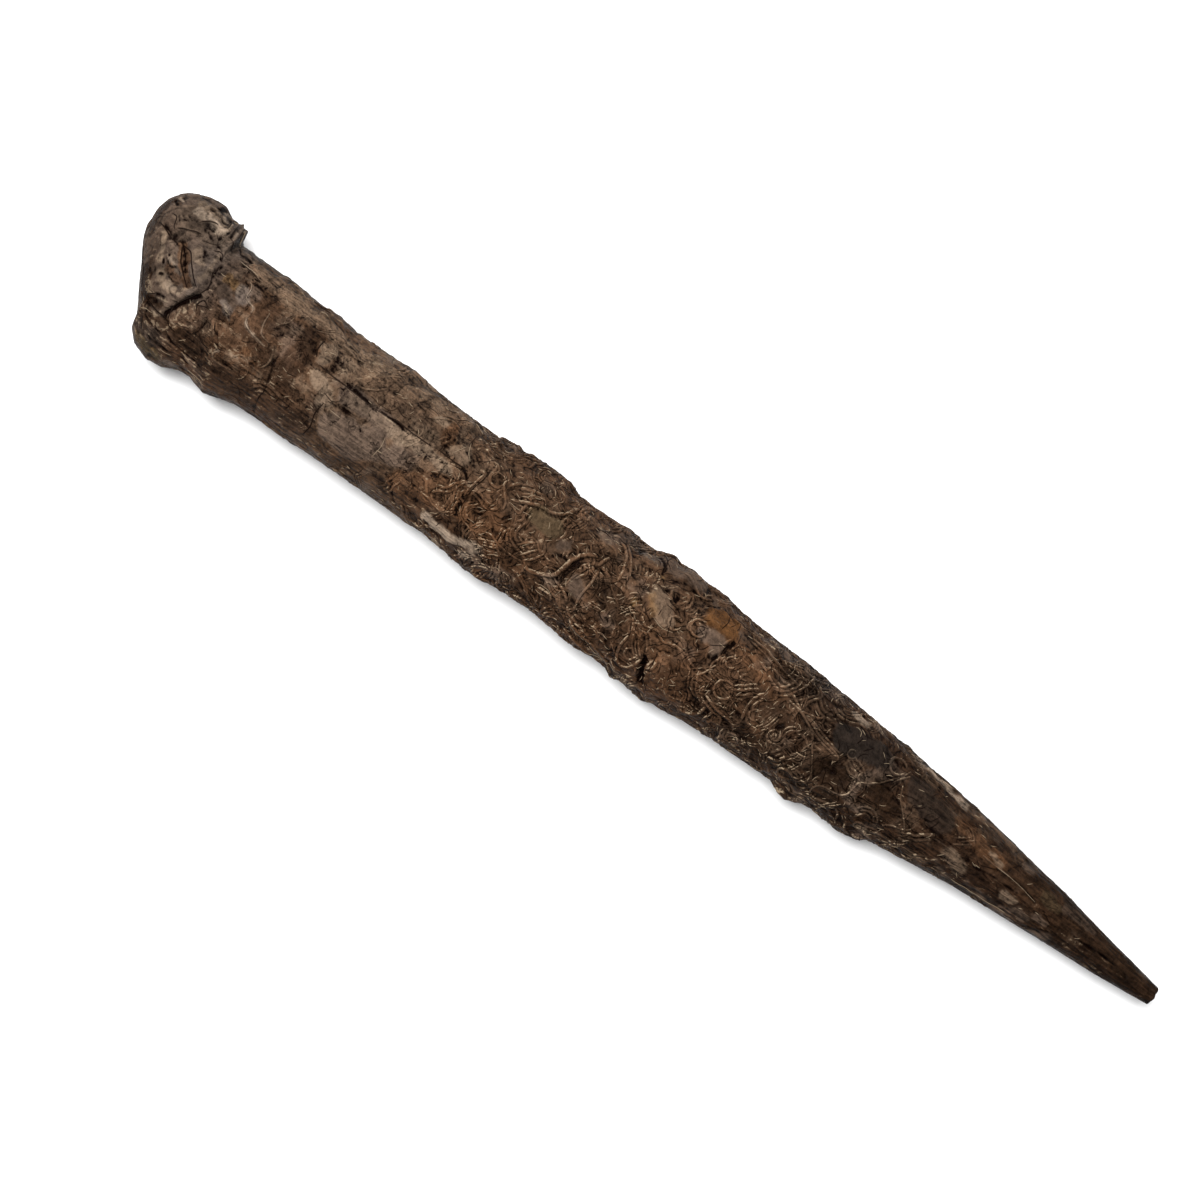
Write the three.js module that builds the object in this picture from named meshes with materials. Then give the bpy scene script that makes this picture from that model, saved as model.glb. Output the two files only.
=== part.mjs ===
// Fossil belemnite guard: the solid, bullet-shaped calcite rod of an extinct squid-like animal, lying on its
// flattened belly. It is one grown piece. The blunt end, where the chambered shell once sat, is crushed to a broad
// lipped head, and the other end tapers to a slender apex with its last millimetre broken off square. Worm tubes
// and oyster crust swell the guard in places, and their larger mounds are part of the solid.
//
// Millimetres, +Z up. +X runs along the guard towards the apex, +Y is across it. The origin is on the surface
// that the guard lies on, below the middle of its bounding box.
import * as THREE from "three";
import { mergeVertices } from "three/addons/utils/BufferGeometryUtils.js";

const LENGTH = 200; // head to apex
const SIDES = 36; // facets round the guard
const STATION_STEP = 2.1; // between rings along the shaft
const HEAD_LENGTH = 17; // the crushed part
const HEAD_STEP = 0.85; // between rings of the crushed part
const HEAD_CROWDING = 1.35; // how much closer together those rings are at the blunt end: 1 is evenly spaced
const CAP_RINGS = [0.45, 0.8]; // shares of the end section, from its middle to its rim
const BELLY_FLAT = 0.4; // depth by which the round of the belly is flattened
const WELD = 1e-4; // vertices nearer together than this are made one
const FULL_TURN = 2 * Math.PI;

// Each profile is a list of [distance from the head, value]. Between two points the value eases on a cubic
// that doesn't overshoot.
const leftFlank = [
  [0, 7], [0.6, 8.8], [2, 10.9], [4, 12.3], [7.5, 13.2], [10.5, 12.4], [13.8, 12], [14.6, 9.7],
  [25, 9.9], [35, 9.8], [60, 9.4], [75, 9.9], [88, 9.6], [105, 10], [125, 9.4], [140, 8.5],
  [150, 7.8], [160, 6.9], [170, 5.6], [180, 4.1], [190, 2.5], [198, 1.2], [LENGTH, 0.6],
];
const rightFlank = [
  [0, 5], [2, 0.3], [4, -2.7], [7.6, -9.2], [8.6, -11], [10.5, -12.6], [13, -13.2], [16, -12.7],
  [19, -11.7], [26, -11.3], [35, -10.6], [50, -10.1], [65, -9.8], [90, -9.6], [110, -9.5],
  [120, -9], [132, -8.6], [145, -7.9], [155, -6.7], [165, -5.3], [180, -4], [190, -3.3], [198, -2.5],
  [LENGTH, -1.9],
];
const axis = [
  [0, 6], [2, 5.6], [4, 4.8], [8, 1.8], [12, 0], [150, 0.3], [165, 0.5], [180, 0], [LENGTH, -0.65],
];
const back = [
  [0, 8.8], [1, 11], [3, 13], [6, 14.8], [10, 16.5], [14, 17.8], [20, 19], [30, 19.6], [50, 19.5],
  [65, 19.3], [80, 19.5], [100, 19.6], [115, 19.1], [130, 18.1], [145, 16.8], [160, 15.1],
  [175, 13.1], [190, 11.2], [LENGTH, 10.2],
];
const belly = [
  [0, 5.6], [1, 4], [3, 2.4], [6, 1], [9.5, 0], [112, 0], [122, 0.15], [135, 1], [150, 2.3],
  [165, 3.9], [180, 5.5], [LENGTH, 7.4],
];

// Mounds of worm tubes and oyster crust, and dents where the head is crushed in:
// [distance from the head, degrees round from the left flank over the back, reach, height]. At its reach a mound
// has fallen to about an eighth of its height.
const mounds = [
  [23.8, 182, 2.2, 0.9], [67.5, 4, 3, 0.6], [74, 12, 6, 0.7], [73, 176, 5, 0.6], [98.2, 8, 2.6, 1],
  [103, 20, 6, 0.5], [101, 182, 1.8, 0.8], [107.3, 184, 2.2, 0.8], [134.5, 186, 3.2, 1.3],
  [145, 188, 4.6, 1.3], [88, 95, 8, 0.5], [112, 62, 6, 0.4], [128, 120, 9, 0.5], [57, 230, 9, 0.6],
  [92, 320, 10, 0.7], [121, 225, 7, 0.6], [38, 330, 7, 0.5], [70, 70, 9, 0.4],
  [12, 112, 3.2, -1.1], [7.5, 66, 3, -0.8], [6, 128, 3, 0.6], [14, 60, 3.4, 0.5], [4.5, 300, 3, -0.7],
];

// Fritsch and Carlson's monotone cubic through the points of a profile.
function easedProfile(points) {
  const last = points.length - 1;
  const secants = [];
  for (let i = 0; i < last; i++) {
    secants.push((points[i + 1][1] - points[i][1]) / (points[i + 1][0] - points[i][0]));
  }
  const slopes = points.map((_, i) => {
    if (i === 0) return secants[0];
    if (i === last) return secants[last - 1];
    const [before, after] = [secants[i - 1], secants[i]];
    return before * after <= 0 ? 0 : (2 * before * after) / (before + after);
  });
  return (s) => {
    let i = 0;
    while (i < last - 1 && s > points[i + 1][0]) i++;
    const width = points[i + 1][0] - points[i][0];
    const t = THREE.MathUtils.clamp((s - points[i][0]) / width, 0, 1);
    const [low, high] = [points[i][1], points[i + 1][1]];
    const bend = (1 - t) * slopes[i] * width * t * (1 - t) - t * slopes[i + 1] * width * t * (1 - t);
    return THREE.MathUtils.lerp(low, high, t * t * (3 - 2 * t)) + bend;
  };
}

const leftFlankAt = easedProfile(leftFlank);
const rightFlankAt = easedProfile(rightFlank);
const axisAt = easedProfile(axis);
const backAt = easedProfile(back);
const bellyAt = easedProfile(belly);

// How far the mounds lift the surface at a distance from the head and an angle round the guard.
function moundHeight(s, angle, girthRadius) {
  let height = 0;
  for (const [at, degrees, reach, rise] of mounds) {
    const turn = angle - THREE.MathUtils.degToRad(degrees);
    const shortWay = THREE.MathUtils.euclideanModulo(turn + FULL_TURN / 2, FULL_TURN) - FULL_TURN / 2;
    const across = shortWay * girthRadius;
    height += rise * Math.exp((-2 * ((s - at) ** 2 + across ** 2)) / reach ** 2);
  }
  return height;
}

// A point of the guard: share is 1 on the skin and 0 on the axis. The two flanks are half ellipses of their own.
function sectionPoint(s, angle, share) {
  const middleY = axisAt(s);
  const middleZ = (backAt(s) + bellyAt(s) - BELLY_FLAT) / 2;
  const halfWidth = Math.cos(angle) > 0 ? leftFlankAt(s) - middleY : middleY - rightFlankAt(s);
  const halfHeight = (backAt(s) - bellyAt(s) + BELLY_FLAT) / 2;
  const swell = 1 + moundHeight(s, angle, halfHeight) / Math.max(halfWidth, halfHeight);
  const y = middleY + share * swell * halfWidth * Math.cos(angle);
  const z = middleZ + share * swell * halfHeight * Math.sin(angle);
  return new THREE.Vector3(s - LENGTH / 2, y, Math.max(z, bellyAt(s)));
}

// Distances from the head of all the rings, closer together over the crushed head.
function ringStations() {
  const headRings = Math.round(HEAD_LENGTH / HEAD_STEP);
  const shaftRings = Math.round((LENGTH - HEAD_LENGTH) / STATION_STEP);
  const stations = [];
  for (let i = 0; i < headRings; i++) stations.push(HEAD_LENGTH * (i / headRings) ** HEAD_CROWDING);
  for (let i = 0; i <= shaftRings; i++) {
    stations.push(THREE.MathUtils.lerp(HEAD_LENGTH, LENGTH, i / shaftRings));
  }
  return stations;
}

// A lathed rod of unit radius, whose rings are then drawn out to the guard's own sections.
function guardGeometry() {
  const profile = [
    ...[0, ...CAP_RINGS].map((share) => new THREE.Vector2(share, 0)),
    ...ringStations().map((s) => new THREE.Vector2(1, s)),
    ...[...CAP_RINGS, 0].sort((a, b) => b - a).map((share) => new THREE.Vector2(share, LENGTH)),
  ];
  const rod = new THREE.LatheGeometry(profile, SIDES);
  rod.deleteAttribute("normal");
  rod.deleteAttribute("uv");
  const position = rod.getAttribute("position");
  for (let i = 0; i < position.count; i++) {
    const [x, s, z] = [position.getX(i), position.getY(i), position.getZ(i)];
    const point = sectionPoint(s, Math.atan2(x, z), Math.hypot(x, z));
    position.setXYZ(i, point.x, point.y, point.z);
  }
  const guard = mergeVertices(rod, WELD);
  guard.computeBoundingBox();
  const middle = guard.boundingBox.getCenter(new THREE.Vector3());
  guard.translate(-middle.x, -middle.y, -guard.boundingBox.min.z);
  guard.computeVertexNormals();
  return guard;
}

const fossilCalcite = new THREE.MeshStandardMaterial({ color: "#503c2f", roughness: 0.55, metalness: 0 });
const guard = new THREE.Mesh(guardGeometry(), fossilCalcite);
guard.name = "guard";

const belemnite = new THREE.Group();
belemnite.add(guard);

export default belemnite;
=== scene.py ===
import math
from itertools import product

import bpy
import numpy as np
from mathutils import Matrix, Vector
from mathutils.bvhtree import BVHTree


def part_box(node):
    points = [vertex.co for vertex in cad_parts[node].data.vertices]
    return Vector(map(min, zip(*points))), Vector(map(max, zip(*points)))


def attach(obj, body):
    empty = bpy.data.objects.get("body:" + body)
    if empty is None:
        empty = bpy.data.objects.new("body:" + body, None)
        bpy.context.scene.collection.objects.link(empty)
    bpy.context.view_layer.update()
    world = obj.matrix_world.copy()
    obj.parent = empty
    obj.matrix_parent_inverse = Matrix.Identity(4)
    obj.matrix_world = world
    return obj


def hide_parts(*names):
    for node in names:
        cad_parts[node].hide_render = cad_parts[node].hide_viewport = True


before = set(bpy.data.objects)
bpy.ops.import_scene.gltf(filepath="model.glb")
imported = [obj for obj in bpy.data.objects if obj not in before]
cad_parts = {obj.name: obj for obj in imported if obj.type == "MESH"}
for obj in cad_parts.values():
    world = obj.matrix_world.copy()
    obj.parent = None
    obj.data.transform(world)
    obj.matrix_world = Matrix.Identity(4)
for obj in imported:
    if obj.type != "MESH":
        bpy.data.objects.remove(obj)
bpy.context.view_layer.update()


# ---------------------------------------------------------------------------------------------------------
# Camera
# It looks straight down on the fossil, which lies slantwise across the view with its head up on the left.
# The view is a little shorter than the fossil is long, because the fossil lies along the diagonal.
MM = 0.001
VIEW_SPAN = 188.65 * MM  # what the frame takes in, at half the guard's height
VIEW_MIDDLE = Vector((-7.3, -1.8, 9.9)) * MM
VIEW_TURN = math.radians(36.23)
LENS = 85.0
SENSOR = 36.0

camera_data = bpy.data.cameras.new("camera")
camera_data.lens = LENS
camera_data.sensor_width = SENSOR
camera_data.clip_start = 0.01
camera_data.clip_end = 20.0
camera = bpy.data.objects.new("camera", camera_data)
camera.location = VIEW_MIDDLE + Vector((0, 0, VIEW_SPAN * LENS / SENSOR))
camera.rotation_euler = (0, 0, VIEW_TURN)
bpy.context.scene.collection.objects.link(camera)
bpy.context.scene.camera = camera


# ---------------------------------------------------------------------------------------------------------
# Floor and lights
# A sheet of white board under a softbox, which hangs nearly overhead and leans a little to the side of the
# head and the left flank. The board throws light back up under the guard, and the room is an even white.
FLOOR_SIDE = 6.0
FLOOR_WHITE = (0.9, 0.9, 0.9, 1)
FLOOR_ROUGHNESS = 0.9
ROOM_LIGHT = 0.3
SOFTBOX_DISTANCE = 0.9
SOFTBOX_LEAN = math.radians(13)
SOFTBOX_BEARING = math.radians(148)  # from the way the apex points, round over the left flank
SOFTBOX_SIDE = 0.38
SOFTBOX_POWER = 14.5

floor_mesh = bpy.data.meshes.new("floor")
edge = FLOOR_SIDE / 2
floor_corners = [(-edge, -edge, 0), (edge, -edge, 0), (edge, edge, 0), (-edge, edge, 0)]
floor_mesh.from_pydata(floor_corners, [], [(0, 1, 2, 3)])
floor = bpy.data.objects.new("floor", floor_mesh)
bpy.context.scene.collection.objects.link(floor)
board = bpy.data.materials.new("white_board")
board.use_nodes = True
board.node_tree.nodes["Principled BSDF"].inputs["Base Color"].default_value = FLOOR_WHITE
board.node_tree.nodes["Principled BSDF"].inputs["Roughness"].default_value = FLOOR_ROUGHNESS
floor_mesh.materials.append(board)

room = bpy.data.worlds.new("room")
room.use_nodes = True
room.node_tree.nodes["Background"].inputs["Color"].default_value = (1, 1, 1, 1)
room.node_tree.nodes["Background"].inputs["Strength"].default_value = ROOM_LIGHT
bpy.context.scene.world = room

softbox_light = bpy.data.lights.new("softbox", "AREA")
softbox_light.size = SOFTBOX_SIDE
softbox_light.energy = SOFTBOX_POWER
softbox = bpy.data.objects.new("softbox", softbox_light)
softbox_level = SOFTBOX_DISTANCE * math.sin(SOFTBOX_LEAN)
softbox.location = (softbox_level * math.cos(SOFTBOX_BEARING), softbox_level * math.sin(SOFTBOX_BEARING),
                    SOFTBOX_DISTANCE * math.cos(SOFTBOX_LEAN))
softbox.rotation_euler = (-softbox.location).to_track_quat("-Z", "Y").to_euler()
bpy.context.scene.collection.objects.link(softbox)
bpy.context.scene.view_settings.view_transform = "Standard"


# ---------------------------------------------------------------------------------------------------------
# Guard: its form
# The guard is a rod of calcite that grew in layers round its axis, with a slender apex and a wide open head.
# Its form is read off the solid as a map: rows lie along the guard from the head, columns go round it from
# the left flank over the back, and each cell holds the skin's distance from the guard's middle line, in mm.
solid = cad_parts["guard"]
solid_low, solid_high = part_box("guard")
LENGTH = (solid_high.x - solid_low.x) / MM
MAP_ROWS, MAP_COLUMNS = 1201, 400
PROBE_ROWS, PROBE_COLUMNS = 401, 120  # where the solid is felt for, to fill the map
SHAFT_FROM = (15.0, 21.0)  # mm from the head, where its crisp form goes over into the smooth shaft
RING_REACH = 1.5  # mm of the solid on either side of a row that give its middle
MIDDLE_BLUR = 2.0  # mm along the guard, which evens out its middle line
HEAD_BLUR, SHAFT_BLUR = (0.3, 2.5), (1.2, 5)  # mm along and degrees round, which hide the solid's facets
INSIDE = 0.05  # mm, keeps the first and last rows off the end faces

solid_points = np.array([vertex.co for vertex in solid.data.vertices]) / MM
solid_tree = BVHTree.FromObject(solid, bpy.context.evaluated_depsgraph_get())


def stations_of(rows):
    """The stations of a map's rows: their distances from the head in mm."""
    return np.linspace(0, LENGTH, rows)


def turns_of(columns):
    """The turns of a map's columns: their angles round the guard."""
    return np.linspace(0, math.tau, columns, endpoint=False)


def look_up(field, station, turn):
    """A map's value between its cells. A map may have one column, where it is the same all round."""
    last_row, columns = field.shape[0] - 1, field.shape[1]
    row = np.clip(np.asarray(station) / LENGTH, 0, 1 - 1e-9) * last_row  # always with a row below it
    column = np.asarray(turn) / math.tau % 1 * columns
    here = row.astype(int)
    left = column.astype(int) % columns
    right = (left + 1) % columns
    down, across = row - here, column - np.floor(column)
    upper = field[here, left] * (1 - across) + field[here, right] * across
    lower = field[here + 1, left] * (1 - across) + field[here + 1, right] * across
    return upper * (1 - down) + lower * down


def blurred(field, along, around=0.0):
    """A map smoothed over this many millimetres along the guard and degrees round it."""
    rows, columns = field.shape
    mirrored = np.concatenate([field, field[::-1]])
    along_waves = np.fft.fftfreq(2 * rows, LENGTH / (rows - 1))[:, None] * along
    around_waves = np.fft.rfftfreq(columns, 360 / columns)[None, :] * around
    kept = np.exp(-2 * math.pi**2 * (along_waves**2 + around_waves**2))
    return np.fft.irfft2(np.fft.rfft2(mirrored) * kept, mirrored.shape)[:rows]


def eased(value, start, end):
    """0 before start, 1 after end, and an even rise between them."""
    part = np.clip((value - start) / (end - start), 0, 1)
    return part * part * (3 - 2 * part)


def solid_middle(station):
    """The middle of the solid's section, as (y, z) in mm."""
    ring = solid_points[np.abs(solid_points[:, 0] + LENGTH / 2 - station) < RING_REACH, 1:]
    return (ring.min(0) + ring.max(0)) / 2


def solid_radius(station, middle, turn):
    """How far the solid's skin is from its middle in this direction, in mm."""
    x = min(max(station, INSIDE), LENGTH - INSIDE) - LENGTH / 2
    start = Vector((x, *middle)) * MM
    return solid_tree.ray_cast(start, Vector((0, math.cos(turn), math.sin(turn))))[3] / MM


probe_stations = stations_of(PROBE_ROWS)
probe_middles = np.array([solid_middle(station) for station in probe_stations])
probe_middles = np.column_stack([blurred(probe_middles[:, [side]], MIDDLE_BLUR) for side in (0, 1)])
probes = np.array([[solid_radius(station, middle, turn) for turn in turns_of(PROBE_COLUMNS)]
                   for station, middle in zip(probe_stations, probe_middles)])
shaft = eased(probe_stations, *SHAFT_FROM)[:, None]
probes = (1 - shaft) * blurred(probes, *HEAD_BLUR) + shaft * blurred(probes, *SHAFT_BLUR)

stations = stations_of(MAP_ROWS)
turns = turns_of(MAP_COLUMNS)
station_map, turn_map = np.meshgrid(stations, turns, indexing="ij")
radius = look_up(probes, station_map, turn_map)


def middle_line(station):
    """The guard's middle line, as two arrays of y and z in mm."""
    return [np.interp(station, probe_stations, probe_middles[:, side]) for side in (0, 1)]


def at_height(station, turn, height):
    """Places in mm, this high over the skin that the map holds."""
    reach = look_up(radius, station, turn) + height
    middle_y, middle_z = middle_line(station)
    x = np.asarray(station) - LENGTH / 2
    return np.stack([x, middle_y + reach * np.cos(turn), middle_z + reach * np.sin(turn)], axis=-1)


def station_and_turn(place):
    """Where a place in mm is along and round the guard."""
    station = place[..., 0] + LENGTH / 2
    middle_y, middle_z = middle_line(station)
    return station, np.arctan2(place[..., 2] - middle_z, place[..., 1] - middle_y)


skin = at_height(station_map, turn_map, 0)


# ---------------------------------------------------------------------------------------------------------
# Guard: places on its skin
# What is worth naming on the fossil was noted from above, as (mm from the head, mm left of the middle line).
# A sight line from the camera finds where each of those places is on the skin.
def seen(station, left):
    """The place on the skin, in mm, that shows there from above."""
    aim = Vector(((station - LENGTH / 2) * MM, left * MM, VIEW_MIDDLE.z))
    hit = solid_tree.ray_cast(camera.location, (aim - camera.location).normalized())[0]
    if hit is None:
        hit = solid_tree.find_nearest(aim)[0]
    return np.array(hit) / MM


def flowing(points, step=0.2):
    """Points closely spaced along a smooth curve (Catmull and Rom's) through a few points."""
    points = np.asarray(points, float)
    if len(points) == 1:
        return points
    before = 2 * points[:1] - points[1:2]
    after = 2 * points[-1:] - points[-2:-1]
    points = np.concatenate([before, points, after])
    path = []
    for a, b, c, d in zip(points, points[1:], points[2:], points[3:]):
        count = max(int(np.linalg.norm(c - b) / step), 1)
        t = np.arange(count)[:, None] / count
        bend = (2 * a - 5 * b + 4 * c - d) * t**2 + (3 * b - 3 * c + d - a) * t**3
        path.append(0.5 * (2 * b + (c - a) * t + bend))
    return np.concatenate([*path, points[-2:-1]])


def distance_from(route, limit):
    """A map of how far each cell is from a route of seen places, in mm. Beyond limit it may be infinite."""
    far = np.full(radius.shape, np.inf)
    row_step = LENGTH / (MAP_ROWS - 1)
    for place in flowing([seen(*point) for point in route]):
        row = (place[0] + LENGTH / 2) / row_step
        rows = slice(max(int(row - limit / row_step), 0), int(row + limit / row_step) + 2)
        far[rows] = np.minimum(far[rows], np.linalg.norm(skin[rows] - place, axis=-1))
    return far


def lumps(points, size, seed):
    """Smooth random values from about -1 to 1 that change over this many millimetres."""
    side = 32  # cells, after which they repeat
    values = np.random.default_rng(seed).uniform(-1, 1, (side, side, side))
    cell = np.asarray(points) / size
    corner = np.floor(cell).astype(int)
    part = cell - corner
    part = part * part * (3 - 2 * part)
    total = 0
    for step in product((0, 1), repeat=3):
        weight = np.prod(np.where(step, part, 1 - part), axis=-1)
        index = (corner + step) % side
        total = total + weight * values[index[..., 0], index[..., 1], index[..., 2]]
    return total


def layered(points, *layers):
    """Lumps of several sizes added up. Each layer is how strong it is, its size in mm and its seed."""
    return sum(strength * lumps(points, size, seed) for strength, size, seed in layers)


RAGGED = 0.35  # mm by which the edge of a mark wanders
rag = RAGGED * layered(skin, (1, 1.6, 71), (0.6, 0.6, 72))


def brushed(route, reach, edge=0.3, ragged=1.0):
    """A map that is 1 within reach of a route, and falls to 0 over a ragged edge."""
    away = distance_from(route, reach + edge + 1) + ragged * rag
    return 1 - eased(away, reach - edge / 2, reach + edge / 2)


# ---------------------------------------------------------------------------------------------------------
# Guard: its relief
# The calcite weathered along its fibres. Oyster spat and other crusts left thin flaking plates on it, and
# the head is crushed into folds, pits and one deep crevice. Heights are in mm over the solid's skin, and each
# profile is a list of (mm from the head, value).
CRUST = [(0, 0.25), (12, 0.25), (15, 0.4), (60, 0.5), (67, 1), (146, 1), (158, 0.5), (170, 0.3), (200, 0.2)]
FIBRE = [(0, 0.1), (14, 0.4), (20, 0.7), (60, 0.5), (70, 0.2), (140, 0.3), (155, 0.9), (200, 1)]
FLAKING = [(0, 0.1), (14, 0.4), (20, 1), (60, 1), (68, 0.5), (150, 0.4), (165, 0.3), (200, 0.15)]
MORE_FIBRE, LESS_FLAKING = 0.5, 0.7  # shares by which the right flank differs from the rest

crust = np.interp(stations, *zip(*CRUST))[:, None]
right_flank = eased(-np.cos(turn_map), 0.3, 0.9)
fibre = np.interp(stations, *zip(*FIBRE))[:, None] * (1 + MORE_FIBRE * right_flank)
flaking = np.interp(stations, *zip(*FLAKING))[:, None] * (1 - LESS_FLAKING * right_flank)

# Places of plates left by crusts: height, reach and route. They are smoother than what is round them.
PLATES = [
    (0.0, 1.1, [(1, 8), (0.9, 5.2), (2, 2.4), (3.4, -0.4), (5, -3.4), (6, -4.6)]),
    (0.0, 1.2, [(3.6, 4), (4.8, 1.6), (6, -1), (7.4, -2.4), (9.4, -2.6)]),
    (0.25, 1.3, [(18.7, 4.2), (19.3, 3.2)]),
    (0.25, 1.4, [(16.4, 2), (17.8, 1.4)]),
    (0.2, 1.2, [(20.6, 4.8), (21.4, 4.6)]),
    (0.22, 1.6, [(34.8, 4.6), (35.5, 2.8)]),
    (0.28, 1.6, [(36.5, -0.5), (38.5, -1.5), (39.2, -0.5)]),
    (0.15, 1.3, [(42, 0), (46, 0), (50, -0.4)]),
    (0.2, 3.0, [(43, -4.6), (46, -4.8), (48.5, -4)]),
    (0.3, 1.9, [(53, -2.8), (53.6, -2.2)]),
    (0.2, 1.0, [(56, 5.7), (57.4, 5.9)]),
    (0.22, 1.2, [(61, 4), (62.2, 3.2)]),
    (0.25, 1.4, [(77.5, 2.8), (80, 3)]),
    (0.3, 1.6, [(88, -2.2), (89, -2.6)]),
    (0.25, 1.1, [(83.3, 1.5)]),
    (0.25, 1.2, [(87.5, 6.8), (89.5, 6.2)]),
    (0.5, 2.2, [(96, 8.5), (99, 8.8), (103, 9.4)]),
    (0.3, 1.5, [(99.6, 3.2), (101, 4), (102.4, 2.2)]),
    (0.3, 1.8, [(109.4, 6.8), (111.6, 6.4), (111.4, 3)]),
    (0.15, 2.4, [(136.6, 3.6), (140, 4.2), (142.8, 4.6)]),
    (0.15, 2.2, [(150.6, 4), (153.4, 3.2), (156.6, 2.2)]),
    (0.0, 1.6, [(137, -2.6), (140, -2.4)]),
    (0.0, 1.4, [(146, -0.4), (149, -1.4)]),
    (0.25, 0.8, [(136.2, 7.3), (137.6, 7.2)]),
    (0.15, 0.8, [(171.8, -1.5), (173, -1.5)]),
    (0.2, 0.8, [(63, -7.2), (65, -7.7), (69, -7.4), (71.5, -7)]),
]

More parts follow.
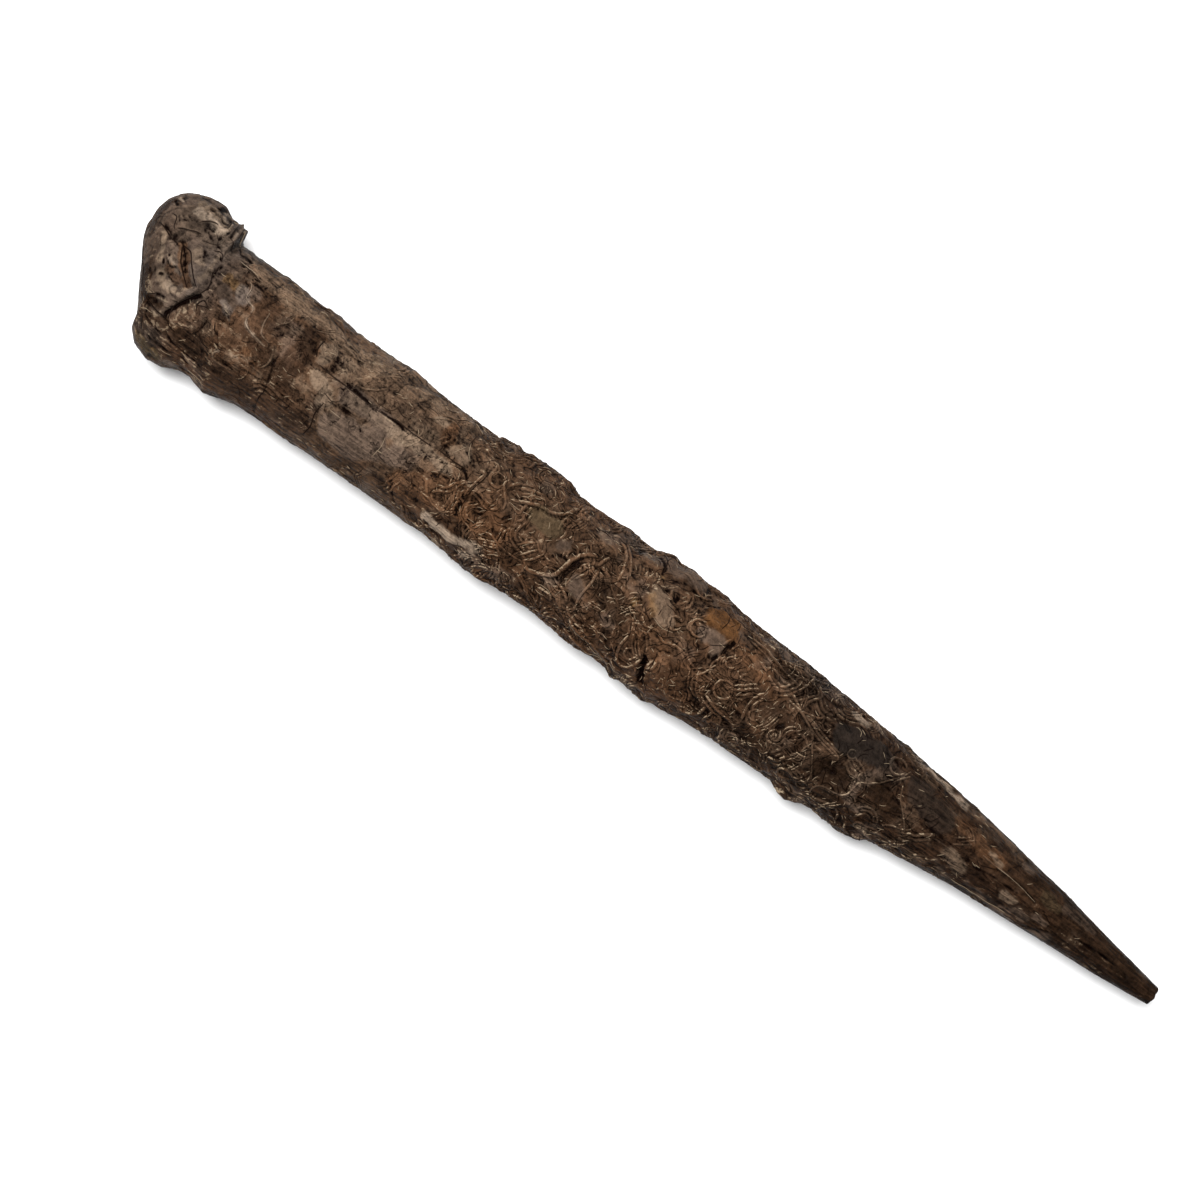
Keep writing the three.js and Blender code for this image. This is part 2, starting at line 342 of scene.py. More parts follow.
# Cracks, grooves and pits: depth, reach and route.
GROOVES = [
    (0.45, 0.2, [(13.4, -0.8), (12.8, -1.4), (12, -3.2), (11.4, -4.8), (11, -5.8)]),
    (0.15, 0.15, [(13.6, -0.3), (14.2, -0.4), (15, 0.2)]),
    (0.2, 0.12, [(6.6, 4.7), (7.5, 4), (8.5, 2.8), (9.5, 1.4)]),
    (0.3, 0.12, [(2.8, 5.3), (4.2, 5), (5.6, 4.2), (6.4, 4)]),
    (0.25, 0.12, [(13.9, 5), (13.5, 4.2), (13.6, 3), (14, 2.2), (14.1, 1.2)]),
    (0.25, 0.12, [(6.4, 1), (7.2, 0.6), (8, 1), (9, 0.7)]),
    (0.25, 0.12, [(6.6, -1.2), (7.8, -0.9), (9, -1.1), (9.9, -0.8)]),
    (0.25, 0.14, [(9.6, 6), (10.4, 5.4), (10.8, 4.2), (11.4, 3.4)]),
    (0.25, 0.12, [(3, 8), (4, 7.4), (4.6, 6.6)]),
    (0.25, 0.12, [(9, 8.2), (10, 7.7), (11.4, 7.4), (12.4, 7)]),
    (0.3, 0.12, [(10.2, 6.2), (11.3, 6.5), (12.4, 6.4), (13.2, 5.8)]),
    (0.3, 0.15, [(8.6, -7.4), (10.4, -8.2), (12.2, -8.6)]),
    (0.3, 0.15, [(9.2, -9.8), (12, -10.2), (15, -10.4), (18.4, -10.2)]),
    (0.3, 0.15, [(12.8, -8), (14.6, -9), (17, -9.4), (20, -9.4)]),
    (0.2, 0.1, [(13.2, -3), (13.8, -3.8), (13.2, -4.6)]),
    (0.2, 0.1, [(14.6, -2), (15.4, -2.8), (15.2, -4.2), (14.4, -5)]),
    (0.25, 0.12, [(12.2, -5.2), (13.2, -5.6), (14, -5.4)]),
    (0.5, 0.2, [(14.3, 9), (15.2, 8.2), (16.2, 8.3), (17.2, 8.1)]),
    (0.3, 0.12, [(16, 7.5), (18, 7.3), (20, 7.1)]),
    (0.4, 0.14, [(16.4, 7), (18, 6.8), (19.8, 6.7)]),
    (0.25, 0.12, [(16.9, -3.5), (16.8, -4.8), (16.3, -6.2), (15.4, -6.4)]),
    (0.25, 0.16, [(7, 8.1), (7.8, 8.9), (8.7, 9.3), (9.5, 9.2)]),
    (0.3, 0.15, [(5, 8.4), (6.6, 8.5)]),
    (0.25, 0.14, [(4.8, 5.8), (6.2, 6.5), (7.4, 6.9), (8.6, 7.1)]),
    (0.25, 0.14, [(4.1, 6.4), (4.2, 7.3), (5, 7.8)]),
    (0.4, 0.16, [(11, 8.3), (11, 8.6)]),
    (0.35, 0.2, [(1.9, 9), (2.5, 8.8)]),
    (0.25, 0.12, [(2.6, 10.2), (3.3, 9.9)]),
    (0.25, 0.2, [(7.3, 11.3), (7.6, 11.2)]),
    (0.25, 0.25, [(8.1, 12), (9.2, 12.4)]),
    (0.25, 0.12, [(10.7, 9.8), (10.7, 12)]),
    (0.25, 0.12, [(11.6, 9.6), (11.6, 12)]),
    (0.3, 0.12, [(12.3, 9.6), (12.3, 12)]),
    (0.25, 0.12, [(13.3, 9.6), (13.3, 11.8)]),
    (0.4, 0.25, [(5.7, 0.8), (5.9, 0.5)]),
    (0.4, 0.2, [(6.1, 1.9)]),
    (0.35, 0.15, [(6.6, 2.7)]),
    (0.35, 0.25, [(8.2, -3.8), (9.2, -3.7)]),
    (0.2, 0.15, [(6.2, -5.9), (8, -5.9), (10.4, -6.2), (12.2, -6.9)]),
    (0.25, 0.12, [(18.6, 0), (19.3, -0.4), (19.9, -1), (20.1, -1.8)]),
    (0.3, 0.15, [(18.6, -2.2), (19.2, -3), (19.5, -3.7)]),
    (0.3, 0.15, [(20, 6.2), (21.6, 6)]),
    (0.4, 0.12, [(29.4, -0.4), (29.2, -1.8), (29.9, -4), (30.4, -5.8), (30.7, -9), (31.3, -10.3)]),
    (0.3, 0.12, [(27.9, 2.4), (27, 1.5), (26.9, 0.3)]),
    (0.4, 0.12, [(40, 2), (43, 1.9), (46, 1.6), (49, 1.8), (52, 1.5)]),
    (0.3, 0.12, [(54.8, 2.3), (57, 2)]),
    (0.4, 0.12, [(59.4, 2.7), (61.4, 2.1)]),
    (0.4, 0.15, [(63, 2.4), (64.5, 1.3)]),
    (0.4, 0.2, [(55, -6), (56, -7.4), (57.5, -8.6)]),
    (0.5, 0.16, [(66.3, -4.5), (66, -2.5), (65.5, -1)]),
    (0.5, 0.14, [(85.9, -2.6), (86.4, -0.4), (87, 1.2)]),
    (0.6, 0.22, [(96.5, 9.3), (97.8, 8.3), (98.3, 7.4)]),
    (0.9, 0.4, [(102.3, 5.6), (102.3, 4.7)]),
    (0.7, 0.22, [(113.5, 5.4), (113.1, 3), (112.6, 1)]),
    (1.6, 0.4, [(103.8, -5), (104.4, -6.5), (105.2, -8.2)]),
    (0.4, 0.12, [(165, -0.9), (168, -0.5), (172, -0.3)]),
    (0.3, 0.1, [(168, 1.1), (173, 0.9), (176, 0.2)]),
    (0.3, 0.1, [(184, -0.6), (189, -0.3), (194, -0.4)]),
]

# Lumps and hollows with soft edges: height, reach and route.
SWELLINGS = [
    (-0.35, 0.7, [(2.8, 5.3), (4.4, 4.9), (6.6, 4.9), (7.7, 4), (8.7, 2.6), (9.8, 1.2), (11.4, 0.2)]),
    (-0.6, 0.6, [(13.4, -0.6), (12, -3.2), (11, -5.6)]),
    (0.35, 0.8, [(8.8, 4), (10, 2.6), (11, 1.4)]),
    (0.35, 0.8, [(14.4, -1.2), (13.6, -3.2), (12.6, -5.2)]),
    (0.3, 0.6, [(11.4, -1.2), (10.6, -3.4), (10, -5)]),
    (-0.7, 1.6, [(15.8, -7.4), (18.4, -8)]),
    (0.35, 0.7, [(5, 6.4), (6.6, 6.2), (8.5, 6)]),
    (0.3, 0.5, [(7, 8.6), (8, 9.4), (9.3, 9.6)]),
    (0.3, 0.8, [(6, 9.9), (8, 9.8), (10.4, 9.6)]),
    (0.2, 1.2, [(12.4, 1.8), (12.6, 5.8)]),
    (0.35, 0.9, [(5.8, 3.2), (6.6, 2.4)]),
    (0.3, 1.4, [(7.2, -2.6), (9.2, -2.6)]),
    (-0.3, 1.0, [(7, -0.2), (9.4, -0.2)]),
    (-0.4, 0.6, [(6.4, -5.2), (8.4, -5), (9.6, -5)]),
    (0.15, 1.1, [(10.6, -7.8), (12.6, -7.6)]),
    (0.25, 0.4, [(11.1, 11.4), (11.1, 10)]),
    (0.3, 0.4, [(12.8, 12), (12.8, 9.8)]),
    (0.3, 0.4, [(13.8, 12), (13.8, 10)]),
    (0.3, 0.5, [(16.6, -1.2), (17.8, -2.4), (19.2, -3.8)]),
    (0.25, 0.8, [(16.6, -11.8)]),
    (-0.5, 1.6, [(137, -2.6), (140, -2.4)]),
    (-0.5, 1.3, [(112, -5.6), (115, -6.6)]),
    (-0.5, 1.4, [(118, -6), (122, -6.4)]),
    (-0.4, 1.2, [(146.5, 1.4), (148, 0.2)]),
    (0.6, 1.2, [(133, -9), (136, -9.2)]),
    (0.5, 1.2, [(143, -8.2), (147, -8)]),
]

# Places thick with sand grains: reach and route.
GRIT = [
    (1.5, [(13.6, -3.2), (14.6, -4.4), (13, -5.6)]),
    (0.6, [(12.6, 5.8), (12.5, 1.6)]),
    (1.0, [(14.2, 3.6), (14.4, 1.4)]),
    (1.4, [(22.4, -4.6), (25, -4.2), (27.4, -3)]),
    (1.2, [(9.4, -10.4), (13, -11.8)]),
    (1.0, [(5.8, 3), (6.4, 1.8)]),
]

LUMP, CRUST_LUMP = 0.02, 0.15  # mm, the height of small lumps on bare calcite, and what crust adds to it
FIBRE_STRETCH = (0.12, 1, 1)  # the calcite's fibres run along the guard
relief = layered(skin, (0.08, 9, 1), (0.1, 4, 2))
relief += (LUMP + CRUST_LUMP * crust) * lumps(skin, 1.8, 3)
relief += fibre * layered(skin * FIBRE_STRETCH, (0.07, 0.9, 4), (0.05, 0.45, 5))

# The head is covered with small creases, which run slantwise over it and die out behind it.
CREASE = 0.25  # mm, how deep they are
CREASE_WIDTH = 0.16  # they run where the lumps that shape them are within this of 0
CREASE_SLANT = math.radians(35)
CREASE_STRETCHES = (0.45, 1, 1), (0.6, 1, 1)  # of the long and the short ones
CREASED_TO = (13, 16)
slanted = np.stack([skin[..., 0] * math.cos(CREASE_SLANT) + skin[..., 1] * math.sin(CREASE_SLANT),
                    skin[..., 1] * math.cos(CREASE_SLANT) - skin[..., 0] * math.sin(CREASE_SLANT),
                    skin[..., 2]], axis=-1)
long_stretch, short_stretch = CREASE_STRETCHES
creases = np.abs(lumps(slanted * long_stretch, 1.7, 21) + 0.4 * lumps(slanted * short_stretch, 0.8, 22))
creases = (1 - eased(stations, *CREASED_TO))[:, None] * (1 - eased(creases, 0, CREASE_WIDTH))
relief -= CREASE * creases

PLATE_EDGE = 0.25  # mm
bare = np.zeros_like(radius)  # 1 where a plate keeps worms and grit off
plates = np.zeros_like(radius)
for height, reach, route in PLATES:
    plate = brushed(route, reach, PLATE_EDGE)
    plates = np.maximum(plates, height * plate)
    bare = np.maximum(bare, plate)

# The rest flakes off in layers that end in steps, and is rough where crust grew.
FLAKE = 0.14  # mm, the thickness of one layer
FLAKE_EDGE = 0.8  # share of a layer's width that is level, before it rises to the next
PLATE_CALM = 0.7  # share of the roughness that a plate hides
flakes = layered(skin, (2.2, 5, 6), (1.1, 1.7, 7), (0.5, 0.7, 8))
flake_steps = np.floor(flakes) + eased(flakes - np.floor(flakes), FLAKE_EDGE, 1)
rough = crust * layered(skin, (0.14, 0.9, 9), (0.1, 0.5, 10))
rough *= 1 + np.cos(turn_map) ** 4  # the flanks are rougher
relief += (1 - PLATE_CALM * bare) * (rough + FLAKE * flaking * flake_steps) + plates

GRAIN = 0.2  # mm, how high the grains of the gritty places stand
GRIT_EDGE = 1.0  # mm over which grit thins out
GROOVE_EDGE, GROOVE_RAG = 0.25, 0.3  # mm over which a groove's side slopes, and share of rag that it has
SWELLING_LIMIT = 3  # reaches, past which a swelling is too low to count
DARKEST_DEPTH = 0.4  # mm, from which a groove is fully darkened, with dirt and painted shade
CREASE_DARKENING = 0.25  # how much a crease is darkened, where a deep groove has 1
grains = eased(layered(skin, (1, 0.55, 13), (0.4, 1.2, 14)), -0.1, 0.5)
for reach, route in GRIT:
    relief += GRAIN * (grains - 0.5) * brushed(route, reach, GRIT_EDGE)
for height, reach, route in SWELLINGS:
    relief += height * np.exp(-((distance_from(route, SWELLING_LIMIT * reach) / reach) ** 2))
cracks = CREASE_DARKENING * creases  # 1 along the grooves, which the finish darkens with black dirt and painted shade
for depth, reach, route in GROOVES:
    groove = brushed(route, reach, GROOVE_EDGE, GROOVE_RAG)
    relief -= depth * groove
    cracks = np.maximum(cracks, min(depth / DARKEST_DEPTH, 1) * groove)


# ---------------------------------------------------------------------------------------------------------
# Worm tubes: their routes
# Serpulid worms cemented their limy tubes over the dead guard, one across another. They lie in the plane of
# the skin, half sunk in lime, and climb over those laid before them. Their crests are painted pale, as wear
# and glints.
# Each named tube is its radius in mm and its route. Most of the others wander in small bundles.
NAMED_TUBES = [
    (0.16, [(18.2, 5.8), (19.3, 5.5), (19.7, 4.8), (19.9, 3.4), (21.6, 3), (21.8, 2)]),
    (0.18, [(21.8, 2), (21.7, 0.9), (22.3, 0.2), (23.5, -0.3), (25, -0.6), (26.8, -0.9)]),
    (0.14, [(22, 2), (22.8, 2.2), (23.3, 1.8)]),
    (0.16, [(24.2, 4), (24.3, 2.5), (24.7, 1), (25.2, 0.3), (27, 0)]),
    (0.2, [(21.2, -5.6), (20.8, -6.2), (21.4, -7), (25, -6.9)]),
    (0.18, [(14.4, -3.4), (15, -3.9), (15.8, -3.6)]),
    (0.24, [(28, -0.4), (28.6, -1.6), (28.6, -3), (28, -4)]),
    (0.2, [(58, -8.8), (58.8, -8.3), (59.8, -8.9)]),
    (0.25, [(66.4, 3.5), (66, 1.5), (65.7, -0.5), (65.9, -1.5)]),
    (0.25, [(67.3, 5), (67.2, 3.6), (68, 2.8), (69.3, 2.8), (69.9, 3.8)]),
    (0.28, [(70, 5), (69.8, 4), (70.5, 3), (71.5, 2), (72, 1), (71.8, 0.2)]),
    (0.25, [(72, 2.1), (73, 1.9), (74.4, 1.5), (74.3, 2.8), (73.4, 2.4)]),
    (0.36, [(72, 2.6), (74.5, 3.6), (76.4, 4.4), (78.4, 4.7), (80, 5.6), (81, 6.8), (81.6, 7.8)]),
    (0.22, [(71.6, -4), (73, -3.7), (75, -4.2), (77.5, -4.4), (80, -4.1)]),
    (0.28, [(77.2, -2.4), (78, -1.4), (79.4, -0.4)]),
    (0.28, [(78.2, -3.8), (79.4, -2.2), (80.4, -1)]),
    (0.28, [(79.2, -4), (80.4, -2.8), (81.4, -1.2)]),
    (0.45, [(80, -4.6), (81.4, -4.5), (83, -3.9), (84.6, -2.8), (85.1, -1.2), (85.4, 0.4), (86.1, 1.9),
            (87.4, 3), (88.6, 3.4)]),
    (0.42, [(89.3, 2.2), (89.6, 3.4), (90.1, 4.4)]),
    (0.3, [(89.8, 1.8), (90, -0.6), (89.8, -3), (90.4, -5.6)]),
    (0.32, [(90, 7.8), (91.4, 7), (92.4, 5.4), (93, 3.6), (93.2, 2)]),
    (0.28, [(91, 8), (92.6, 6.6), (93.8, 4.8), (94.4, 3)]),
    (0.28, [(88.4, 6), (90, 5.8), (91, 5)]),
    (0.3, [(85, -3.4), (86.6, -3.7), (88, -4.4), (88.8, -5.4)]),
    (0.28, [(83.4, -6), (85, -5.7), (86.2, -5.8), (86.4, -6.6)]),
    (0.3, [(90.5, -6.8), (93, -7.6), (97, -8.3), (100, -9.3)]),
    (0.28, [(90, -8.4), (93.6, -8.9), (97, -9.3)]),
    (0.3, [(95.3, -2.8), (96.1, -3.5), (95.9, -4.6), (95, -4.8)]),
    (0.28, [(99.6, 0), (101, -0.9), (102.6, -0.3), (104.5, -1.2), (106.4, -0.6), (108.8, -0.8)]),
    (0.3, [(101, 9), (103.4, 8.4), (105.6, 7.8), (107, 8.4)]),
    (0.34, [(99.6, -3.6), (99.5, -5.6), (100.2, -7.3), (102, -7.6), (103, -6.6), (103.4, -5)]),
    (0.28, [(102.6, -5.4), (101.8, -6.4), (100.8, -6.2), (100.6, -5.2), (101.4, -4.8)]),
    (0.26, [(106.2, 5.8), (106.4, 4.4), (106.2, 2.9), (107.2, 2.4)]),
    (0.28, [(115, -4), (118, -4.8), (121, -5.2), (121.8, -6.4)]),
    (0.26, [(114.4, -4.6), (117, -5.4), (119, -5.8), (119.4, -7)]),
    (0.3, [(121, -7), (122.5, -6.6), (124, -7.4)]),
    (0.34, [(112.6, -8), (114.6, -7.7), (115.8, -6.8), (115.9, -5.4)]),
    (0.26, [(115.4, 8), (119, 7.2), (122, 6.4), (126, 5.6)]),
    (0.24, [(115.6, 7.4), (119, 6.6), (121.4, 5.8)]),
    (0.3, [(125.6, 4.2), (127.6, 3.2), (129, 2.4), (130.6, 2.3), (133, 1.4), (137, 0.6), (138, -0.2)]),
    (0.26, [(126, 3), (128.4, 2.6), (130, 2), (133, 0.9), (137.4, 0.2)]),
    (0.26, [(130.4, 2.7), (133, 1.9), (135.6, 1.3), (137.4, 1)]),
    (0.26, [(128, 2.4), (130, 3.1), (131.4, 3.4), (132, 4.2)]),
    (0.2, [(132.6, 0), (133.8, -1.4), (135, -3.2), (136.2, -5)]),
    (0.2, [(137.2, -7), (137.1, -5.6), (138.2, -4.6), (140.5, -4.4), (142, -3.6), (142.3, -2), (142.6, -0.8),
           (144, 0), (145.4, 1.2), (146.4, 2.6), (147.5, 3.8), (148.2, 5.4)]),
    (0.26, [(146.8, 2.2), (147.4, 3.2), (148.6, 4.6)]),
    (0.2, [(148.4, 2.8), (149.2, 1), (150.5, -0.3), (151.8, -1.6), (153, -3)]),
    (0.3, [(139, 0.4), (140.4, -0.6), (142, -0.6)]),
    (0.22, [(165, 1.4), (168, 1.2), (171, 1.1)]),
]

# Tubes coiled in a ring: its middle, the ring's radius and the tube's.
RINGS = [
    ((68.6, 4), 1.2, 0.16), ((107.9, 3.8), 1.4, 0.28), ((116.7, -1.7), 1.5, 0.26), ((132.3, -6.7), 1.3, 0.3),
    ((146, 4.8), 1.5, 0.3), ((135.4, -6.4), 0.9, 0.24), ((115.2, 2.4), 0.9, 0.22), ((104.4, 2.2), 1.1, 0.26),
    ((123, -2), 0.9, 0.24), ((139, 2), 0.7, 0.22), ((146.4, -6.4), 0.8, 0.24),
]

# How closely the wandering tubes cover the guard, along it.
SETTLEMENT = [(0, 0.02), (14, 0.03), (30, 0.06), (55, 0.1), (63, 0.5), (68, 1), (132, 1), (146, 0.6),
              (156, 0.16), (170, 0.03), (180, 0), (200, 0)]
BUNDLES = 1100
STRANDS = (1, 4)  # tubes in a bundle
STRIDE = 0.35  # mm between the points of a tube
STRIDES = (9, 30)  # in one bundle
FEWEST_STRIDES = 6  # a shorter bundle is left out
FEWEST_POINTS = 5  # and so is a tube with fewer points
STRAND_GAP = 2.1  # radii between the middles of tubes side by side
STRAND_RADII = (0.85, 1.15)  # of the bundle's own
SHORT_BY = 3  # a tube starts and ends short of its bundle by up to one part in this many
HEADING_SPREAD = 0.5  # radians off the drift at which a tube sets out
CURL_SPREAD, CURL_CHANGE = 0.3, 0.2  # of a tube's curl at its start, and from stride to stride
CURL_KEPT = 0.8  # share of the curl that goes on into the next stride
CURLING, DRIFTING = 1.6, 0.2  # radians per mm by which curl and drift turn a tube
BARREN = 0.02  # how little settlement ends a tube
RING_CLOSED = 0.95  # of a full turn that a ring of tube goes round
THINNEST, THICKEST = 0.2, 0.4  # mm, the radii of wandering tubes
SUNK, NAMED_SUNK = 0.35, -0.1  # share of its radius by which a tube's middle lies under the surface
TALLEST = 0.9  # mm over the solid's skin, past which no tube settles
LEVELLED = 5  # points of a tube over which it evens out the ground
TAPER, END_DIP = 0.3, 0.8  # shares of its radius by which a tube thins and dips at its ends
TAPERED_OVER = (-0.6, 2.4)  # points from a tube's tip, where it starts and stops to taper
TIP_MARGIN = 0.3  # mm that tubes keep from the guard's two ends

top = relief.copy()  # the surface as the next worm finds it
chance = np.random.default_rng(20)


def tapering(count, start, end):
    """Rises from 0 to 1 over the first few of this many points, and falls again over the last few."""
    along = np.arange(count)
    return eased(np.minimum(along, along[::-1]), start, end)


def settled(station, turn, tube_radius, sunk):
    """Lays one tube on what is there already, and returns its heights over the skin and its radii."""
    count = len(station)
    ground = look_up(top, station, turn)
    window = min(LEVELLED, count)
    spread = np.convolve(np.pad(ground, window // 2, mode="edge"), np.ones(window) / window, "same")
    ground = spread[window // 2:window // 2 + count]
    whole = tapering(count, *TAPERED_OVER)
    radii = tube_radius * (1 - TAPER + TAPER * whole)
    heights = np.minimum(ground, TALLEST) - radii * (sunk + END_DIP * (1 - whole))

    around = look_up(radius, station, turn)
    rows = np.rint(station / LENGTH * (MAP_ROWS - 1)).astype(int)
    columns = np.rint(turn / math.tau * MAP_COLUMNS).astype(int)
    row_reach = int(tube_radius / LENGTH * MAP_ROWS) + 1
    column_reach = int(np.max(tube_radius / around) / math.tau * MAP_COLUMNS) + 1
    near_rows = np.clip(rows[:, None] + np.arange(-row_reach, row_reach + 1), 0, MAP_ROWS - 1)[:, :, None]
    near_columns = (columns[:, None] + np.arange(-column_reach, column_reach + 1))[:, None, :]
    along = near_rows * LENGTH / (MAP_ROWS - 1) - station[:, None, None]
    turned = near_columns / MAP_COLUMNS * math.tau - turn[:, None, None]
    across = ((turned + math.pi) % math.tau - math.pi) * around[:, None, None]
    rise = radii[:, None, None] ** 2 - along**2 - across**2
    covered = heights[:, None, None] + np.sqrt(np.maximum(rise, 0))
    surface = np.where(rise > 0, covered, -np.inf)
    near_rows, near_columns = np.broadcast_arrays(near_rows, near_columns % MAP_COLUMNS)
    np.maximum.at(top, (near_rows, near_columns), surface)
    return heights, radii


named = []
for tube_radius, route in NAMED_TUBES:
    station, turn = station_and_turn(flowing([seen(*point) for point in route], STRIDE))
    named.append((station, turn, tube_radius))
for (station, left), ring_radius, tube_radius in RINGS:
    middle_station, middle_turn = station_and_turn(seen(station, left))
    angles = np.arange(0, math.tau * RING_CLOSED, STRIDE / ring_radius)
    across = ring_radius * np.sin(angles) / look_up(radius, middle_station, middle_turn)
    named.append((middle_station + ring_radius * np.cos(angles), middle_turn + across, tube_radius))

settlement = np.interp(stations, *zip(*SETTLEMENT))[:, None] * (1 - bare)
settlement = settlement * eased(lumps(skin, 7, 30), -1, -0.1)  # they settled in patches
settlement *= eased(skin[..., 2], 0.2, 1.2)  # none where the guard lies on its belly
likelihood = (settlement * radius).ravel()
starts = chance.choice(likelihood.size, BUNDLES, p=likelihood / likelihood.sum())

# The way that tubes tend to run, as an angle from the guard's line. Away from the crust they run along it.
STRAY, CRUST_STRAY = 0.2, 0.8  # half turns that they stray from it, everywhere and also in the crust
drift = math.pi * (STRAY + CRUST_STRAY * eased(crust, 0.5, 1)) * layered(skin, (1, 6, 31), (0.5, 2.5, 32))


def wandered(start, strides, bounds):
    """Rows of station, turn and heading along a winding path, which ends early where bounds is nearly 0."""
    station = stations[start // MAP_COLUMNS]
    turn = turns[start % MAP_COLUMNS]
    heading = look_up(drift, station, turn) + chance.normal(0, HEADING_SPREAD)
    curl = chance.normal(0, CURL_SPREAD)
    path = []
    for _ in range(strides):
        around = float(look_up(radius, station, turn))
        station += STRIDE * math.cos(heading)
        turn += STRIDE * math.sin(heading) / around
        if not 1 < station < LENGTH - 1 or look_up(bounds, station, turn) < BARREN:
            break
        curl = CURL_KEPT * curl + chance.normal(0, CURL_CHANGE)
        pull = math.sin(float(look_up(drift, station, turn)) - heading)
        heading += STRIDE * (CURLING * curl + DRIFTING * pull)
        path.append((station, turn, heading))
    return np.array(path)


wandering = []
for start in starts:
    path = wandered(start, int(chance.integers(*STRIDES)), settlement)
    if len(path) < FEWEST_STRIDES:
        continue
    station, turn, heading = path.T
    tube_radius = THINNEST + (THICKEST - THINNEST) * chance.random() ** 2
    strands = int(chance.integers(*STRANDS))
    for strand in range(strands):
        offset = (strand - (strands - 1) / 2) * tube_radius * STRAND_GAP
        first = int(chance.integers(0, max(len(path) // SHORT_BY, 1)))
        last = len(path) - int(chance.integers(0, max(len(path) // SHORT_BY, 1)))
        part = slice(first, last)
        around = look_up(radius, station[part], turn[part])
        strand_station = station[part] - offset * np.sin(heading[part])
        strand_turn = turn[part] + offset * np.cos(heading[part]) / around
        if last - first >= FEWEST_POINTS:
            wandering.append((strand_station, strand_turn, tube_radius * chance.uniform(*STRAND_RADII)))

tubes = []
for group, sunk in ((wandering, SUNK), (named, NAMED_SUNK)):
    for station, turn, tube_radius in group:
        station = np.clip(station, TIP_MARGIN, LENGTH - TIP_MARGIN)
        tubes.append((station, turn, *settled(station, turn, tube_radius, sunk)))

# Sand and lime fill in between the tubes. Wear, dirt, painted shade and painted glints go by the level of
# what is near and round about.
FILL, FILL_BLUR = 0.4, (0.5, 2.5)  # share filled in, and the mm along and degrees round that smooth it
NEAR_SHARE, NEAR_BLUR = 0.7, (0.4, 2.3)
ROUND_SHARE, ROUND_BLUR = 0.3, (1.6, 9)
filled = relief + FILL * (blurred(top, *FILL_BLUR) - relief)
level = NEAR_SHARE * blurred(top, *NEAR_BLUR) + ROUND_SHARE * blurred(top, *ROUND_BLUR)


# ---------------------------------------------------------------------------------------------------------
# Guard: its outline
# Tubes and crust leave the outline rough, with the head's lip and notch as its landmarks. Each edge is
# (mm from the head, mm left of the middle line) as seen from above, and the flanks are set out or in to it.
LEFT_EDGE = [
    (0, 7.6), (0.5, 9.3), (1.5, 10.8), (2.5, 11.8), (4, 12.6), (5.5, 13.1), (7, 13.35), (8.5, 13.4),
    (9.5, 12.9), (10.5, 12.4), (12.1, 12.4), (12.7, 12.75), (13, 12.25), (14.1, 12.15), (14.2, 9.9),
    (18.5, 9.9), (25, 10.1), (30, 9.75), (33, 10.15), (37, 9.6), (45, 9.8), (48, 10.15), (52, 9.65),
    (56, 9.5), (63, 9.4), (65, 9.4), (65.3, 9.95), (67, 9.95), (68.2, 10.4), (69.2, 10), (70, 10.1),
    (70.7, 10.4), (72, 10.3), (74, 10.6), (75.4, 10.4), (76, 10.5), (78, 10.4), (80.5, 9.5), (83, 9.45),
    (88, 9.65), (90, 10.05), (91.5, 9.95), (92.2, 9.6), (95.4, 9.7), (96.6, 10.3), (98.2, 10.85),
    (99.7, 10.3), (101.6, 10.65), (104.8, 10.3), (106.4, 10.4), (109.6, 10.3), (111, 9.9), (116, 9.6),
    (125, 9.5), (130, 9.15), (140, 8.45), (146, 8.3), (148, 7.9), (155, 7.3), (160, 6.85), (165, 6.2),
    (170, 5.45), (175, 4.75), (179, 4.3), (185, 3.2), (190, 2.35), (195, 1.6), (198, 1.1), (200, 0.8),
]
RIGHT_EDGE = [
    (0, 3.8), (0.6, 2.1), (1.3, 0.8), (3.5, -2.6), (5.7, -6.2), (7.7, -9.4), (7.9, -10.9), (9.6, -12.6),
    (12.5, -13.35), (15.3, -13), (17.5, -11.8), (20, -11.6), (23, -12.45), (25, -11.8), (28, -10.9),
    (33, -10.65), (37, -10.7), (40, -10.45), (50, -10.1), (60, -10), (64, -9.8), (68, -10.1), (72, -10.5),
    (75, -10.45), (78, -9.9), (85, -9.6), (93, -10.2), (97, -9.75), (99.5, -9.8), (101, -10.7),
    (102.5, -10.2), (107.3, -10.7), (109, -10.05), (112, -9.9), (114, -9.4), (120, -9.05), (128, -8.85),
    (131, -8.8), (133, -9.6), (134.7, -10), (137, -9), (139, -8.7), (144.5, -9), (147, -8.5), (149, -7.4),
    (153, -6.8), (160, -5.8), (165, -5.2), (175, -4.45), (180, -4), (190, -3.3), (195, -2.75), (200, -2.2),
]
BUMP = 0.6  # mm along the guard: narrower bumps of tubes and crust are left on the outline
BROAD = 3.0  # mm along the guard: shorter changes, as at the lip, stay on the flank and don't reach the back
OUTLINE_SPARE = 0.08  # mm added to both, for what the light eats away of a rough edge
BROAD_FLANK, FLANK_RIM = (0.2, 0.8), (0.65, 0.95)  # cosines between which the two kinds of change grow
LIP = [(11, 0), (13, 1.8), (15, 1.8), (17, 0)]  # how far in the guard is below the head's lip

below_lip = eased(-np.sin(turns), -0.12, 0.08) * eased(np.cos(turns), 0.1, 0.4)
radius -= np.interp(stations, *zip(*LIP))[:, None] * below_lip

